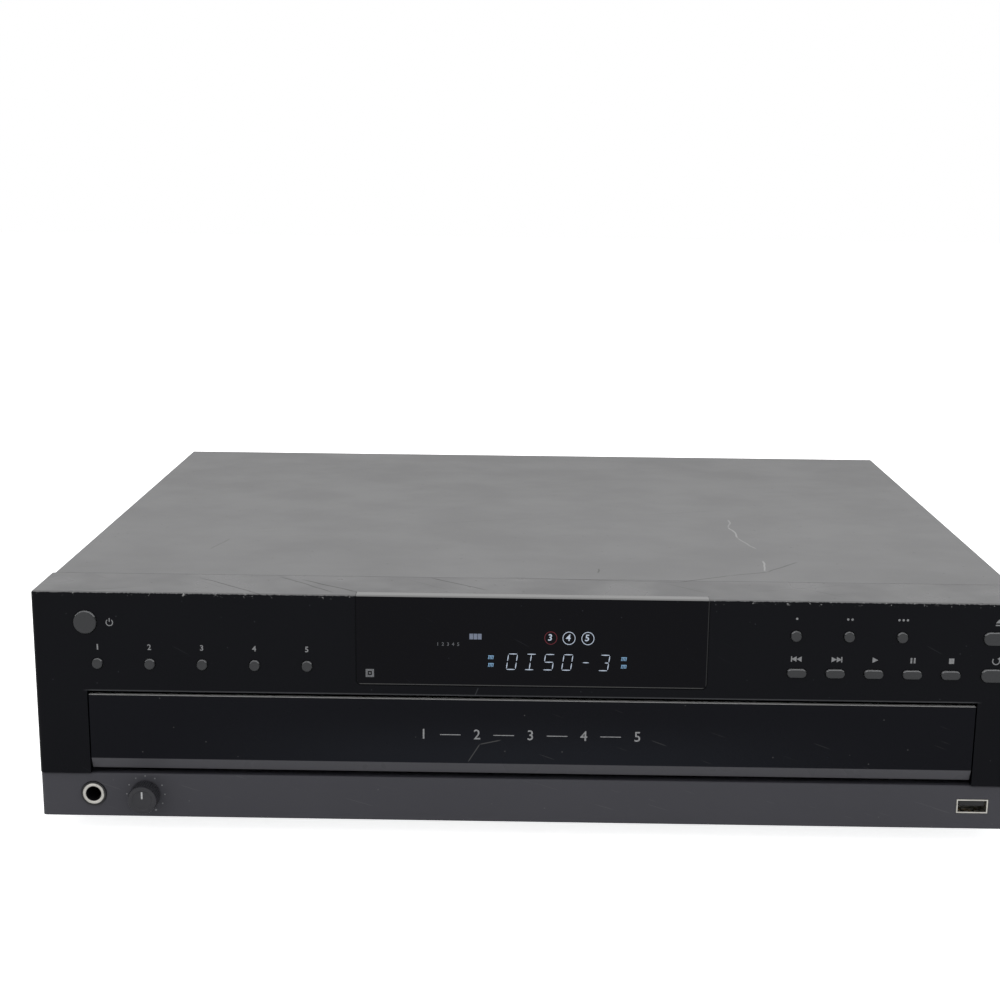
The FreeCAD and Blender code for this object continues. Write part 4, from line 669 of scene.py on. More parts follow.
def mark(form, kind, width, height, place, turned=facing, spin=0.0, lean=0.0, thick=0.04):
    # a flat printed shape, drawn in its own plane and then placed
    if kind == "bar":
        made = bmesh.ops.create_grid(form, x_segments=1, y_segments=1, size=0.5)["verts"]
    else:
        sides, radius = {"triangle": (3, 2 / 3), "segment": (6, 0.5), "dot": (24, 0.5)}[kind]
        made = bmesh.ops.create_circle(form, cap_ends=True, segments=sides, radius=radius)["verts"]
    if kind == "triangle":
        bmesh.ops.rotate(form, verts=made, cent=(0, 0, 0), matrix=Matrix.Rotation(-math.pi / 2, 3, "Z"))
        bmesh.ops.scale(form, vec=(1, math.sqrt(0.75), 1), verts=made)
    for v in made if kind == "segment" else ():
        if abs(v.co.x) > 0.01:
            v.co.x = math.copysign(0.5 - height / width * (0.5 - abs(v.co.x)), v.co.x)
    slant = Matrix.Identity(4)
    slant[0][1] = lean
    shape = Matrix.Diagonal((width * mm, height * mm, 1, 1))
    move = Matrix.Translation(place) @ turned @ slant @ Matrix.Rotation(spin, 4, "Z") @ shape
    bmesh.ops.transform(form, matrix=move, verts=made)
    faces = list({f for v in made for f in v.link_faces})
    bmesh.ops.solidify(form, geom=faces, thickness=-thick * mm)


def ring(form, radius, width, place, axis=(0, -1, 0), stretch=1.0, thick=0.04, arc=whole, start=0.0):
    # a flat printed ring, or an arc of one
    place, axis = Vector(place), Vector(axis)
    side = Matrix.Rotation(start, 3, axis) @ Vector((0, 0, 1))
    corners = [(radius - width / 2, 0), (radius + width / 2, 0), (radius + width / 2, thick),
               (radius - width / 2, thick)]
    points = [form.verts.new(place + side * r * mm + axis * h * mm) for r, h in corners]
    edges = [form.edges.new((points[i], points[i - 1])) for i in range(4)]
    before = set(form.verts) - set(points)
    bmesh.ops.spin(form, geom=points + edges, cent=place, axis=axis, angle=arc, steps=max(6, int(arc * 8)),
                   use_merge=arc == whole)
    made = [v for v in form.verts if v not in before]
    if stretch != 1.0:
        bmesh.ops.scale(form, vec=(stretch, 1, 1), verts=made, space=Matrix.Translation(-place))
    if arc < whole:
        ends = {e for v in made for e in v.link_edges if e.is_boundary}
        bmesh.ops.holes_fill(form, edges=list(ends), sides=4)


def fromCurve(form, curve, place=level):
    # a curve's mesh, moved to its place and added to the form
    holder = bpy.data.objects.new("drawn", curve)
    mesh = bpy.data.meshes.new_from_object(holder)
    mesh.transform(place)
    form.from_mesh(mesh)
    bpy.data.objects.remove(holder)
    bpy.data.curves.remove(curve)
    bpy.data.meshes.remove(mesh)


def figures(form, words, height, place, turned=facing, thick=0.04, bold=0.0, lean=0.0):
    # plain figures, by their height
    text = bpy.data.curves.new("figures", "FONT")
    text.body = words
    text.size = height * mm / 0.72      # a figure is 0.72 of its line
    text.extrude = thick * mm / 2
    text.offset = bold * mm
    text.align_x = "CENTER"
    text.align_y = "CENTER"
    text.shear = lean
    text.resolution_u = 3
    fromCurve(form, text, Matrix.Translation(place) @ turned)


def lead(form, points, radius):
    # a round lead through points
    path = bpy.data.curves.new("lead", "CURVE")
    path.dimensions = "3D"
    path.bevel_depth = radius * mm
    path.bevel_resolution = 2
    path.use_fill_caps = True
    run = path.splines.new("NURBS")
    run.points.add(len(points) - 1)
    for point, place in zip(run.points, points):
        point.co = (*at(*place), 1)
    run.use_endpoint_u = True
    run.order_u = 3
    run.resolution_u = 6
    fromCurve(form, path)


print("front buttons")
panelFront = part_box("tray_door")[0].y      # the plane of the front face
caps = {"flange": 1.6, "flangeThick": 1.0, "proud": 1.2, "panel": 3.3, "chamfer": 0.42,
        "powerChamfer": 0.672, "dish": 0.1, "stem": 1.2}
roundCaps = [f"disc_button_{i}" for i in range(1, 6)] + [f"option_button_{i}" for i in range(1, 4)]
pillCaps = ["skip_back_button", "skip_forward_button", "play_button", "pause_button", "stop_button",
            "open_close_button", "disc_skip_button"]


def buttonPlace(name):
    # middle of a cap in the front face, its half width and half height, and how deep its stem goes
    low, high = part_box(name)
    centre = middle(name)
    reach = (high.x - low.x) / 2 / mm - caps["flange"]
    rise = (high.z - low.z) / 2 / mm - caps["flange"]
    return Vector((centre.x, panelFront, centre.z)), reach, rise, (high.y - panelFront) / mm


def roundCap(name, edge):
    place, radius, rise, depth = buttonPlace(name)
    seat, proud, dish, stem = caps["panel"], -caps["proud"], caps["dish"], caps["stem"]
    rim = radius + caps["flange"]
    back = seat + caps["flangeThick"]
    outline = [(0, proud + dish), (radius * 0.55, proud + dish * 0.7), (radius - edge - 0.12, proud),
               (radius - edge, proud + 0.02), (radius - edge * 0.35, proud + edge * 0.35),
               (radius, proud + edge), (radius, seat), (rim, seat), (rim, back), (stem, back), (stem, depth),
               (0, depth)]
    form = bmesh.new()
    lathe(form, outline, place, (0, 1, 0), 64)
    addPiece(f"{name}Cap", form, "buttonPlastic", 0.5, f"{name}_body", [name], "buttonEdge")


def pillCap(name):
    place, reach, rise, depth = buttonPlace(name)
    seat, grow, stem = caps["panel"], caps["flange"], caps["stem"]
    form = bmesh.new()
    pill(form, place, reach, rise, -seat, caps["proud"], facing, caps["chamfer"], 48, 3)
    pill(form, place, reach + grow, rise + grow, -seat - caps["flangeThick"], -seat, facing, 0.0, 48)
    lathe(form, [(0, seat), (stem, seat), (stem, depth), (0, depth)], place, (0, 1, 0), 20)
    addPiece(f"{name}Cap", form, "buttonPlastic", 0.5, f"{name}_body", [name], "buttonEdge")


for name in roundCaps:
    roundCap(name, caps["chamfer"])
roundCap("power_button", caps["powerChamfer"])
for name in pillCaps:
    pillCap(name)

print("front markings")
marks = {"proud": 0.03, "figure": 2.5, "figureRise": 7.4, "figureOne": 0.6, "dot": 1.0, "dotPitch": 1.8,
         "dotRise": 7.7, "symbol": 2.4, "symbolRise": 6.3}
ahead = panelFront - marks["proud"] * mm
left = math.pi      # turns a triangle to point left, and half of it to point up


def overButton(name, rise, along=0.0):
    # a place on the front face, above a button's middle
    spot = middle(name)
    return Vector((spot.x + along * mm, ahead, spot.z + rise * mm))


def symbol(form, name, shapes):
    # shapes are (kind, offset, width, turn), in millimetres beside the button's middle
    for kind, offset, width, turn in shapes:
        mark(form, kind, width, marks["symbol"], overButton(name, marks["symbolRise"], offset), spin=turn)


form = bmesh.new()
mark(form, "bar", marks["figureOne"], marks["figure"], overButton("disc_button_1", marks["figureRise"], 0.3))
for i in range(2, 6):
    figures(form, str(i), marks["figure"], overButton(f"disc_button_{i}", marks["figureRise"]), bold=0.05)
for i in range(1, 4):
    for k in range(i):
        along = (k - (i - 1) / 2) * marks["dotPitch"]
        mark(form, "dot", marks["dot"], marks["dot"],
             overButton(f"option_button_{i}", marks["dotRise"], along))
symbol(form, "skip_back_button", [("bar", -2.5, 0.5, 0), ("triangle", -1.1, 2.2, left),
                                  ("triangle", 1.1, 2.2, left)])
symbol(form, "skip_forward_button", [("triangle", -1.1, 2.2, 0), ("triangle", 1.1, 2.2, 0),
                                     ("bar", 2.5, 0.5, 0)])
symbol(form, "play_button", [("triangle", 0, 2.4, 0)])
symbol(form, "pause_button", [("bar", -0.7, 0.75, 0), ("bar", 0.7, 0.75, 0)])
symbol(form, "stop_button", [("bar", 0, 2.2, 0)])
mark(form, "triangle", 1.7, 2.8, overButton("open_close_button", 7.5), spin=left / 2)
mark(form, "bar", 2.8, 0.5, overButton("open_close_button", 6.0))
ring(form, 1.5, 0.45, overButton("disc_skip_button", 6.6) + at(0, 0.01, 0), arc=4.6, start=0.9)
mark(form, "triangle", 1.2, 1.5, overButton("disc_skip_button", 7.7, 1.3), spin=-0.9)
ring(form, 1.4, 0.4, overButton("power_button", 0, 10.5) + at(0, 0.01, 0), arc=5.0, start=0.64)
mark(form, "bar", 0.4, 1.6, overButton("power_button", 1.1, 10.5))
addPiece("panelMarks", form, "panelInk")

print("display")
tube = {"pitch": 7.94, "first": -8.45, "low": 78.1, "high": 85.0, "wide": 4.3, "stroke": 0.46, "lean": 0.14}
segments = {"0": "abcdef", "1": "aild", "5": "afmcd", "-": "n", "3": "abhcd"}
smallRow = {"figure": 2.9, "z": 92.4, "places": {"4": 15.5, "5": 23.6, "3": 7.7}, "rings": (15.9, 24.0),
            "redRing": 8.1, "ringZ": 92.3, "ringRadius": 2.75, "stretch": 0.95}
levelBars = {"x": (-17.5, 39.7), "z": (83.3, 79.9), "top": 0.75, "wide": 2.3, "stroke": 0.34, "first": -0.95,
             "pitch": 0.63, "tall": 1.5, "lean": 0.2}
blocks = {"first": -26.0, "pitch": 1.8, "z": 92.5, "wide": 1.6, "tall": 2.5}
sensor = {"x": -69.7, "z": 75.6, "side": 1.35, "stroke": 0.9, "long": 3.6, "short": 1.8}
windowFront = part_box("display_window")[0].y - marks["proud"] * mm


def onWindow(x, z):
    return Vector((x * mm, windowFront, z * mm))


def segmentFigure(form, shown, x):
    # one figure of the display, built from its lit segments
    wide, tall, stroke, lean = tube["wide"], tube["high"] - tube["low"], tube["stroke"], tube["lean"]
    half, quarter = wide / 2 - stroke / 2, tall / 4
    places = {"a": (0, tall / 2, 0), "d": (0, -tall / 2, 0), "b": (half, quarter, 1),
              "c": (half, -quarter, 1), "f": (-half, quarter, 1), "e": (-half, -quarter, 1),
              "h": (wide / 4, 0, 2), "i": (0, quarter, 1), "l": (0, -quarter, 1), "m": (0, 0, 0),
              "n": (0, 0, 3)}
    lengths = (wide - stroke * 1.6, tall / 2 - stroke * 1.6, wide / 2 - stroke, wide * 0.6)
    for key in segments[shown]:
        along, up, kind = places[key]
        spot = onWindow(x + along + up * lean, (tube["low"] + tube["high"]) / 2 + up)
        upright = kind == 1
        mark(form, "segment", lengths[kind], stroke, spot, spin=math.pi / 2 if upright else 0,
             lean=lean if upright else 0)


form = bmesh.new()
for i, shown in enumerate("0150-3"):
    segmentFigure(form, shown, tube["first"] + i * tube["pitch"])
for shown, x in smallRow["places"].items():
    figures(form, shown, smallRow["figure"], onWindow(x, smallRow["z"]), bold=0.07, lean=0.1)
for x in smallRow["rings"]:
    ring(form, smallRow["ringRadius"], 0.3, onWindow(x, smallRow["ringZ"]), stretch=smallRow["stretch"])
addPiece("displayFigures", form, "litWhite")
form = bmesh.new()
ring(form, smallRow["ringRadius"], 0.26, onWindow(smallRow["redRing"], smallRow["ringZ"]),
     stretch=smallRow["stretch"])
addPiece("displayRing", form, "litRed")
form = bmesh.new()
for x in levelBars["x"]:
    for z in levelBars["z"]:
        mark(form, "bar", levelBars["wide"], levelBars["stroke"], onWindow(x, z + levelBars["top"]))
        for k in range(4):
            spot = onWindow(x + levelBars["first"] + k * levelBars["pitch"], z)
            mark(form, "bar", levelBars["stroke"], levelBars["tall"], spot, lean=levelBars["lean"])
addPiece("displayBars", form, "litBlue")
form = bmesh.new()
figures(form, "1  2  3  4  5", 1.5, onWindow(-36.0, 88.9), bold=0.03)
addPiece("displayDim", form, "litDim")
form = bmesh.new()
for k in range(3):
    spot = onWindow(blocks["first"] + k * blocks["pitch"], blocks["z"])
    mark(form, "bar", blocks["wide"], blocks["tall"], spot)
addPiece("displayBlock", form, "litBlock")
form = bmesh.new()
for side in (-sensor["side"], sensor["side"]):
    mark(form, "bar", sensor["stroke"], sensor["long"], onWindow(sensor["x"] + side, sensor["z"]))
    mark(form, "bar", sensor["short"], sensor["stroke"], onWindow(sensor["x"], sensor["z"] + side))
mark(form, "dot", sensor["stroke"], sensor["stroke"], onWindow(sensor["x"], sensor["z"]))
addPiece("sensorMark", form, "markInk")

print("door figures")
doorRow = {"height": 4.6, "z": 48.2, "pitch": 23.25, "dash": 9.0, "dashThick": 0.35}
form = bmesh.new()
for i in range(5):
    x = (i - 2) * doorRow["pitch"]
    figures(form, str(i + 1), doorRow["height"], (x * mm, ahead, doorRow["z"] * mm), bold=0.03)
    if i < 4:
        spot = ((x + doorRow["pitch"] / 2) * mm, ahead, doorRow["z"] * mm)
        mark(form, "bar", doorRow["dash"], doorRow["dashThick"], spot)
addPiece("doorFigures", form, "doorInk", body="tray_unit")

print("level knob")
knob = {"ridges": 40, "ridge": 0.3, "dish": 0.3, "back": 0.5, "shaft": 3.0, "pointer": (0.7, 3.2, 2.3),
        "ticks": 11, "turn": 150, "tickRing": 8.4, "tick": 0.6, "endTick": 0.9}
knobLow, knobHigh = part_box("level_knob")
knobSpot = Vector((middle("level_knob").x, knobLow.y, middle("level_knob").z))
radius = (knobHigh.x - knobLow.x) / 2 / mm
grip = (panelFront - knobLow.y) / mm + knob["back"]
depth = (knobHigh.y - knobLow.y) / mm
form = bmesh.new()
lathe(form, [(0, knob["dish"]), (radius - 2.4, knob["dish"]), (radius - 2.0, 0.0), (radius - 1.0, 0.0),
             (radius - 0.35, 0.25), (radius, 0.9), (radius, grip), (knob["shaft"], grip),
             (knob["shaft"], depth), (0, depth)], knobSpot, (0, 1, 0), knob["ridges"] * 4)
for v in form.verts:
    aside, up = v.co.x - knobSpot.x, v.co.z - knobSpot.z
    if math.hypot(aside, up) > (radius - 0.05) * mm:
        wave = 0.5 - 0.5 * math.cos(knob["ridges"] * math.atan2(up, aside))
        keep = 1 - wave * knob["ridge"] / radius
        v.co.x, v.co.z = knobSpot.x + aside * keep, knobSpot.z + up * keep
addPiece("levelKnob", form, "knobPlastic", 0.4, body="knob", stands=["level_knob"])
wide, tall, rise = knob["pointer"]
form = bmesh.new()
mark(form, "bar", wide, tall, knobSpot + at(0, knob["dish"] - marks["proud"], rise), thick=0.03)
addPiece("knobPointer", form, "whiteInk", body="knob")
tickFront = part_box("lower_front_panel")[0].y - marks["proud"] * mm
form = bmesh.new()
for i in range(knob["ticks"]):
    turn = math.radians(knob["turn"] * (2 * i / (knob["ticks"] - 1) - 1))
    size = knob["endTick"] if i in (0, knob["ticks"] - 1) else knob["tick"]
    mark(form, "dot", size, size, (knobSpot.x + knob["tickRing"] * math.sin(turn) * mm, tickFront,
                                   knobSpot.z + knob["tickRing"] * math.cos(turn) * mm))
addPiece("knobTicks", form, "panelInk")

print("front sockets")
sockets = {"inner": 3.4, "outer": 4.7, "proud": 0.2, "ease": 0.25, "deep": 0.3,
           "tongueLow": (-5.5, 0.95, -0.04), "tongueHigh": (5.5, 14.0, 1.94),
           "contacts": (-3.5, -1.0, 1.0, 3.5), "wide": 1.0, "start": 1.8, "long": 7.2, "thick": 0.12}
phonesFront = Vector((middle("phones_jack").x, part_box("phones_jack")[0].y, middle("phones_jack").z))
inner, outer = sockets["inner"], sockets["outer"]
form = bmesh.new()
lathe(form, [(inner, sockets["deep"]), (inner, 0.0), (inner + sockets["ease"], -sockets["proud"]),
             (outer - sockets["ease"], -sockets["proud"]), (outer, 0.0), (outer, sockets["deep"]),
             (inner, sockets["deep"])], phonesFront, (0, 1, 0), 48)
addPiece("phonesRing", form, "socketMetal", 0.5)
tongue = Vector((middle("usb_socket").x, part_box("usb_socket")[0].y, middle("usb_socket").z))
form = bmesh.new()
block(form, tongue + at(*sockets["tongueLow"]), tongue + at(*sockets["tongueHigh"]), 0.1 * mm)
addPiece("socketTongue", form, "socketBlack", 0.5)
form = bmesh.new()
for x in sockets["contacts"]:
    start = tongue + at(x, sockets["start"], 0)
    block(form, start - at(sockets["wide"] / 2, 0, sockets["thick"]),
          start + at(sockets["wide"] / 2, sockets["long"], 0.02), 0.03 * mm)
addPiece("socketContacts", form, "contactGold")

print("feet")
foot = {"radius": 17.0, "high": 9.0, "cup": 13.1, "pad": 12.8}
footLow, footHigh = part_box("feet")
inset = foot["radius"] * mm
shells, pads = bmesh.new(), bmesh.new()
for x in (footLow.x + inset, footHigh.x - inset):
    for y in (footLow.y + inset, footHigh.y - inset):
        lathe(shells, [(0, 1.2), (foot["cup"], 1.2), (13.4, 0.6), (14.2, 0.6), (15.0, 1.4), (15.5, 4.6),
                       (15.2, 4.9), (15.3, 5.4), (15.8, 5.6), (16.4, 8.2), (foot["radius"], 8.5),
                       (foot["radius"], foot["high"]), (0, foot["high"])], (x, y, 0), steps=56)
        lathe(pads, [(0, 1.4), (foot["pad"], 1.4), (foot["pad"], 0.4), (foot["pad"] - 0.4, 0.0), (9.6, 0.0),
                     (9.2, 0.35), (8.4, 0.35), (8.0, 0.0), (3.2, 0.0), (2.6, 0.9), (0, 0.9)], (x, y, 0))
addPiece("footShells", shells, "footPlastic", 0.5, stands=["feet"])
addPiece("footPads", pads, "softRubber", 0.5)

print("underside")
ribs = {"wide": [(-120, 78), (60, 84), (120, 84)], "pitch": 11, "long": (-85, 85), "longY": -30,
        "longReach": 60, "section": (3.0, 0.2, -0.7), "edge": 0.5}    # half width, start and end in z
screwPlaces = [(-200, -178), (200, -178), (-200, 178), (200, 178), (0, -178), (0, 178), (-150, -162),
               (60, -170)]
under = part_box("bottom_plate")[0].z / mm
form = bmesh.new()
for y, reach in ribs["wide"]:
    for shift in (0, ribs["pitch"]):
        pill(form, at(0, y + shift, under), reach, *ribs["section"], level, ribs["edge"])
for x in ribs["long"]:
    pill(form, at(x, ribs["longY"], under), ribs["longReach"], *ribs["section"], across, ribs["edge"])
addPiece("underRibs", form, "zincSheet", 0.5)
form = bmesh.new()
for x, y in screwPlaces:
    lathe(form, [(0, -0.7), (0.7, -0.7), (1.1, -1.3), (2.0, -1.5), (2.9, -1.1), (3.3, -0.4), (3.4, 0.2),
                 (0, 0.2)], at(x, y, under), steps=28)
addPiece("underScrews", form, "screwBlack", 0.7)

print("rear details")
jacks = {"rows": {80.0: ("jackRingRed", "redInsert"), 94.0: ("jackRingWhite", "whiteInsert")},
         "insert": (1.75, 3.5, 0.0, 0.06), "collar": (5.1, 6.3, 0.45, 0.6),    # radii, start and end
         "plate": (16.5, 8.6, 0.5)}
label = {"left": -112, "right": -36, "low": 38, "high": 68, "thick": 0.2}
lines = {"gland": 9.5, "stroke": 0.5, "frame": 7.0, "frameLong": 14.0}
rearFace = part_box("rear_panel")[1].y
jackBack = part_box("line_jacks")[1].y
jackX = middle("line_jacks").x
reach, rise, thick = jacks["plate"]
rowMiddle = sum(jacks["rows"]) / 2 * mm
form = bmesh.new()
pill(form, Vector((jackX, rearFace, rowMiddle)), reach, rise, 0.0, thick, behind @ across, 0.2)
addPiece("jackPlate", form, "socketBlack", 0.5)
for z, (name, finish) in jacks["rows"].items():
    form = bmesh.new()
    for kind, y, steps in (("insert", jackBack, 40), ("collar", rearFace, 48)):
        inner, outer, near, far = jacks[kind]
        lathe(form, [(inner, near), (outer, near), (outer, far), (inner, far), (inner, near)],
              (jackX, y, z * mm), (0, 1, 0), steps)
    addPiece(name, form, finish, 0.5)
form = bmesh.new()
block(form, (label["left"] * mm, rearFace, label["low"] * mm),
      (label["right"] * mm, rearFace + label["thick"] * mm, label["high"] * mm), 0.05 * mm)
addPiece("blankLabel", form, "labelSilver")
gland, optical = middle("cord_gland"), middle("optical_out")
form = bmesh.new()
ring(form, lines["gland"], lines["stroke"], (gland.x, rearFace + 0.02 * mm, gland.z), (0, 1, 0))
for side in (-lines["frame"], lines["frame"]):
    mark(form, "bar", lines["stroke"], lines["frameLong"],
         (optical.x + side * mm, rearFace + marks["proud"] * mm, optical.z), behind)
    mark(form, "bar", lines["frameLong"], lines["stroke"],
         (optical.x, rearFace + marks["proud"] * mm, optical.z + side * mm), behind)
addPiece("rearLines", form, "whiteInk")

print("disc table")
tableMarks = {"figureRing": 150, "figure": 11.0, "dashRing": 132, "dash": (8.0, 0.8), "dashAside": 6,
              "hubRings": (21.5, 24.0), "capRings": (6.0, 13.0)}
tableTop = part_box("carousel_table")[1].z
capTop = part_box("table_cap")[1].z
hub = Vector((middle("table_shaft").x, middle("table_shaft").y, tableTop))
onTable = hub + at(0, 0, 0.05)
form = bmesh.new()
for i in range(5):
    turn = math.radians(126 + 72 * i)
    outward = Vector((math.cos(turn), math.sin(turn), 0))
    aside = Vector((-math.sin(turn), math.cos(turn), 0)) * tableMarks["dashAside"] * mm
    upright = Matrix.Rotation(turn + math.pi / 2, 4, "Z")
    spot = onTable + outward * tableMarks["figureRing"] * mm
    figures(form, str(i + 1), tableMarks["figure"], spot, upright, thick=0.1, bold=0.12)
    for side in (-1, 1):
        spot = onTable + outward * tableMarks["dashRing"] * mm + aside * side
        mark(form, "bar", *tableMarks["dash"], spot, upright, thick=0.05)
addPiece("tableFigures", form, "tableInk", body="disc_table")
form = bmesh.new()
for r in tableMarks["hubRings"]:
    lathe(form, [(r, 0), (r + 0.9, 0), (r + 0.7, 0.35), (r + 0.2, 0.35), (r, 0)], hub, steps=72)
for r in tableMarks["capRings"]:
    lathe(form, [(r, -0.1), (r + 1.0, -0.1), (r + 0.8, 0.25), (r + 0.2, 0.25), (r, -0.1)],
          (hub.x, hub.y, capTop), steps=60)
addPiece("tableRings", form, "mechPlastic", 0.5, body="disc_table")

print("optical parts")
optics = {"lensAhead": 23, "padBelow": 3.5}    # lens from the spindle, and pad below the spindle's tip
spindle = middle("spindle_platter")
form = bmesh.new()
lathe(form, [(0, 0.45), (0.8, 0.42), (1.5, 0.28), (2.1, 0.05), (2.1, -0.4), (0, -0.4)],
      (0, spindle.y + optics["lensAhead"] * mm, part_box("pickup_sled")[1].z), steps=36)
addPiece("lensDome", form, "lensGlass", 0.8, body="sled")
form = bmesh.new()
lathe(form, [(9.0, -0.5), (14.2, -0.5), (14.2, 0.0), (13.9, 0.08), (9.3, 0.08), (9.0, -0.5)],
      (0, spindle.y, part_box("spindle_platter")[1].z - optics["padBelow"] * mm), steps=56)
addPiece("platterPad", form, "softRubber", 0.5, body="platter")

print("transformer")
mains = {"ends": 6, "coreFrom": 8, "coreTo": 42, "coilEnds": 14, "coilLow": 10, "coilHigh": 36,
         "coilEdge": 3.5, "plates": (8.5, 36.0), "plateEnds": 12.5, "plateThick": 1.5,
         "tags": 20, "tag": (1.0, 37.5, 40.0),
         "footFrom": 18, "footTo": 32, "footHigh": 2, "boltIn": 3.5}
low, high = [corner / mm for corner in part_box("power_transformer")]
form = bmesh.new()
block(form, at(low.x + mains["ends"], low.y + mains["coreFrom"], low.z),
      at(high.x - mains["ends"], low.y + mains["coreTo"], high.z), 0.6 * mm)
addPiece("transformerCore", form, "laminatedIron", stands=["power_transformer"])
form = bmesh.new()
block(form, at(low.x + mains["coilEnds"], low.y, low.z + mains["coilLow"]),
      at(high.x - mains["coilEnds"], high.y, low.z + mains["coilHigh"]), mains["coilEdge"] * mm)
addPiece("transformerCoil", form, "coilTape")
form = bmesh.new()
for z in mains["plates"]:
    block(form, at(low.x + mains["plateEnds"], low.y + 0.5, low.z + z),
          at(high.x - mains["plateEnds"], high.y - 0.5, low.z + z + mains["plateThick"]), 0.4 * mm)
half, tagLow, tagHigh = mains["tag"]
for x in (low.x + mains["tags"], (low.x + high.x) / 2, high.x - mains["tags"]):
    block(form, at(x - half, low.y - 0.1, low.z + tagLow), at(x + half, low.y + 3, low.z + tagHigh),
          0.2 * mm)
addPiece("transformerBobbin", form, "socketBlack")
form = bmesh.new()
block(form, at(low.x, low.y + mains["footFrom"], low.z),
      at(high.x, low.y + mains["footTo"], low.z + mains["footHigh"]), 0.4 * mm)
for x in (low.x + mains["boltIn"], high.x - mains["boltIn"]):
    lathe(form, [(0, 3.8), (2.4, 3.8), (3.0, 3.2), (3.0, 2.0), (0, 2.0)],
          at(x, low.y + (mains["footFrom"] + mains["footTo"]) / 2, low.z), steps=6)
addPiece("transformerFeet", form, "zincSheet", 0.5)

print("main board")
spindleY = spindle.y / mm
board = {"under": 72, "thick": 1.6, "back": 189.5}
boardTop = board["under"] + board["thick"]
chips = [(29, spindleY + 49, 9, 16), (77, spindleY + 37, 7, 12)]     # x, y, half side, legs on a side
chip = {"lift": 0.3, "high": 2.0, "out": 0.6, "leg": (0.8, 0.2, 0.6)}    # leg: half lengths, and height
regulators = {"first": 105, "pitch": 16, "from": 135, "to": 136.5, "half": 2.5, "high": 12}
cans = [(-20, spindleY + 70, 4, 12), (-4, spindleY + 70, 4, 12), (50, 175, 5, 20), (64, 175, 5, 20),
        (110, 158, 3.2, 9), (122, 158, 3.2, 9), (170, 150, 3.2, 9), (184, 150, 3.2, 9), (-20, 130, 2.6, 7),
        (90, 115, 2.6, 7), (150, 120, 2.6, 7)]     # x, y, radius, height
plugs = [(-30, 150, 4, 14), (10, 110, 18, 4), (130, 108, 22, 4), (195, 125, 4, 18)]     # x, y, width, depth
stands = {"hooks": (-30, 60, 190), "hookLong": 8, "hookFrom": 180, "hookTo": 190, "hookHigh": 2,
          "posts": (-30, 60, 180), "postY": spindleY + 12, "postDown": -9.0}
sink = {"fins": 9, "first": 125, "pitch": 4, "thick": 1.2, "from": 168, "to": 174, "high": 16, "edge": 0.2,
        "backTo": 158.2, "backFrom": 166.8}
low, high = [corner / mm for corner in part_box("main_board")]
form = bmesh.new()
block(form, at(low.x, low.y, board["under"]), at(high.x, board["back"], boardTop))
addPiece("mainBoard", form, "boardGreen", stands=["main_board"])


def onBoard(form, x0, x1, y0, y1, rise, edge=0.0, start=0.0):
    # a box standing on the main board
    block(form, at(x0, y0, boardTop + start), at(x1, y1, boardTop + rise), edge * mm)


body, pins = bmesh.new(), bmesh.new()
for x, y, half, count in chips:
    onBoard(body, x - half, x + half, y - half, y + half, chip["high"], 0.2, chip["lift"])
    long, thin, tall = chip["leg"]
    for i in range(count):
        along = (i - (count - 1) / 2) * 2 * (half - 1) / (count - 1)
        for side in (-half - chip["out"], half + chip["out"]):
            onBoard(pins, x + along - thin, x + along + thin, y + side - long, y + side + long, tall)
            onBoard(pins, x + side - long, x + side + long, y + along - thin, y + along + thin, tall)
for i in range(4):
    x = regulators["first"] + i * regulators["pitch"]
    onBoard(body, x - regulators["half"], x + regulators["half"], regulators["from"], regulators["to"],
            regulators["high"], 0.3)
addPiece("boardChips", body, "socketBlack")
addPiece("chipPins", pins, "brightSteel")
sleeves, tops = bmesh.new(), bmesh.new()
for x, y, r, tall in cans:
    lathe(sleeves, [(0, 0), (r - 0.2, 0), (r, 0.3), (r, 1.0), (r - 0.25, 1.4), (r, 1.8), (r, tall - 0.2),
                    (r - 0.5, tall), (r - 0.5, tall - 0.3), (0, tall - 0.3)], at(x, y, boardTop), steps=32)
    lathe(tops, [(0, tall - 0.12), (r - 0.55, tall - 0.12), (r - 0.55, tall - 0.4), (0, tall - 0.4)],
          at(x, y, boardTop), steps=28)
addPiece("canSleeves", sleeves, "capSleeve", 0.5)
addPiece("canTops", tops, "brightSteel", 0.5)
form = bmesh.new()
for x, y, wide, deep in plugs:
    w, d = wide / 2, deep / 2
    onBoard(form, x - w, x + w, y - d, y + d, 6, 0.4)
    onBoard(form, x - w + 1, x + w - 1, y - d + 1, y + d - 1, 7.5, 0.0, 5)
addPiece("boardPlugs", form, "whiteInsert")
form = bmesh.new()
for x in stands["hooks"]:
    block(form, at(x, stands["hookFrom"], board["under"] - stands["hookHigh"]),
          at(x + stands["hookLong"], stands["hookTo"], board["under"]), 0.2 * mm)
for x in stands["posts"]:
    spot = at(x, stands["postY"], board["under"])
    lathe(form, [(0, stands["postDown"]), (3.0, stands["postDown"]), (3.0, 0), (0, 0)], spot, steps=24)
    lathe(form, [(0, 1.6), (3.2, 1.6), (3.0, 2.6), (1.2, 3.0), (0.9, 2.4), (0, 2.4)], spot, steps=24)
for i in range(sink["fins"]):
    x = sink["first"] + i * sink["pitch"]
    onBoard(form, x, x + sink["thick"], sink["from"], sink["to"], sink["high"], sink["edge"])
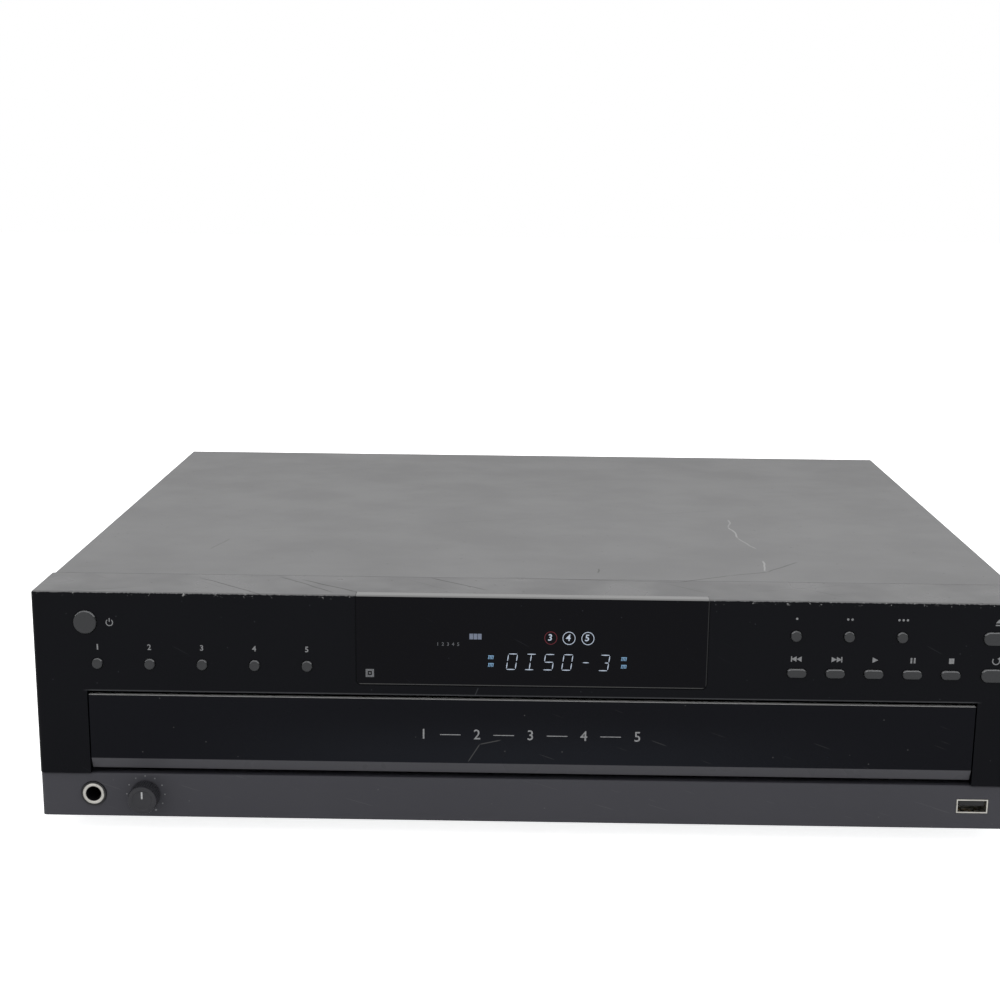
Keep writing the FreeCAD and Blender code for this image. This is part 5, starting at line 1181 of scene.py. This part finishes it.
onBoard(form, sink["first"], sink["backTo"], sink["backFrom"], sink["from"] + 0.2, sink["high"], 0.3)
addPiece("boardStands", form, "zincSheet", 0.5)

print("display board")
switch = {"thick": 1.6, "half": 3.0, "deep": 2.4, "leg": (0.6, 0.6, 0.4), "legAside": 3.4, "legRise": 2.0}
low, high = [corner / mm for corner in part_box("display_board")]
face = high.y - switch["thick"]
form = bmesh.new()
block(form, at(low.x, face, low.z), at(high.x, high.y, high.z))
addPiece("displayBoard", form, "boardUpright", stands=["display_board"])
body, pins = bmesh.new(), bmesh.new()
half, (legX, legY, legZ) = switch["half"], switch["leg"]
for name in roundCaps + pillCaps + ["power_button"]:
    spot = middle(name) / mm
    block(body, at(spot.x - half, face - switch["deep"], spot.z - half),
          at(spot.x + half, face, spot.z + half), 0.3 * mm)
    lathe(body, [(0, -3.2), (1.4, -3.2), (1.6, -3.0), (1.6, -2.2), (0, -2.2)], at(spot.x, face, spot.z),
          (0, 1, 0), 20)
    for x in (spot.x - switch["legAside"], spot.x + switch["legAside"]):
        for z in (spot.z - switch["legRise"], spot.z + switch["legRise"]):
            block(pins, at(x - legX, face - legY, z - legZ), at(x + legX, face, z + legZ))
addPiece("boardSwitches", body, "socketBlack", 0.5)
addPiece("switchLegs", pins, "brightSteel")

print("supply leads")
leads = {"finishes": ["redInsert", "leadBlue", "leadYellow"], "start": (-188, 131), "endX": -30,
         "startPitch": 3, "endY": (148, 152, 156), "risePitch": 2.0, "radius": 0.7}
for i, finish in enumerate(leads["finishes"]):
    x0, y0 = leads["start"][0] + i * leads["startPitch"], leads["start"][1]
    x1, y1 = leads["endX"], leads["endY"][i]
    rise = i * leads["risePitch"]
    form = bmesh.new()
    lead(form, [(x0, y0 + 3, 49), (x0, y0 - 2, 52), (x0 + 8, y0 - 4, 60 + rise),
                (-120, y0 + rise, 66 + rise), (-70, y1, 74 + rise), (x1 - 8, y1, 82), (x1, y1 - 4, 80.8)],
         leads["radius"])
    addPiece(f"powerLead{i + 1}", form, finish, 0.7)
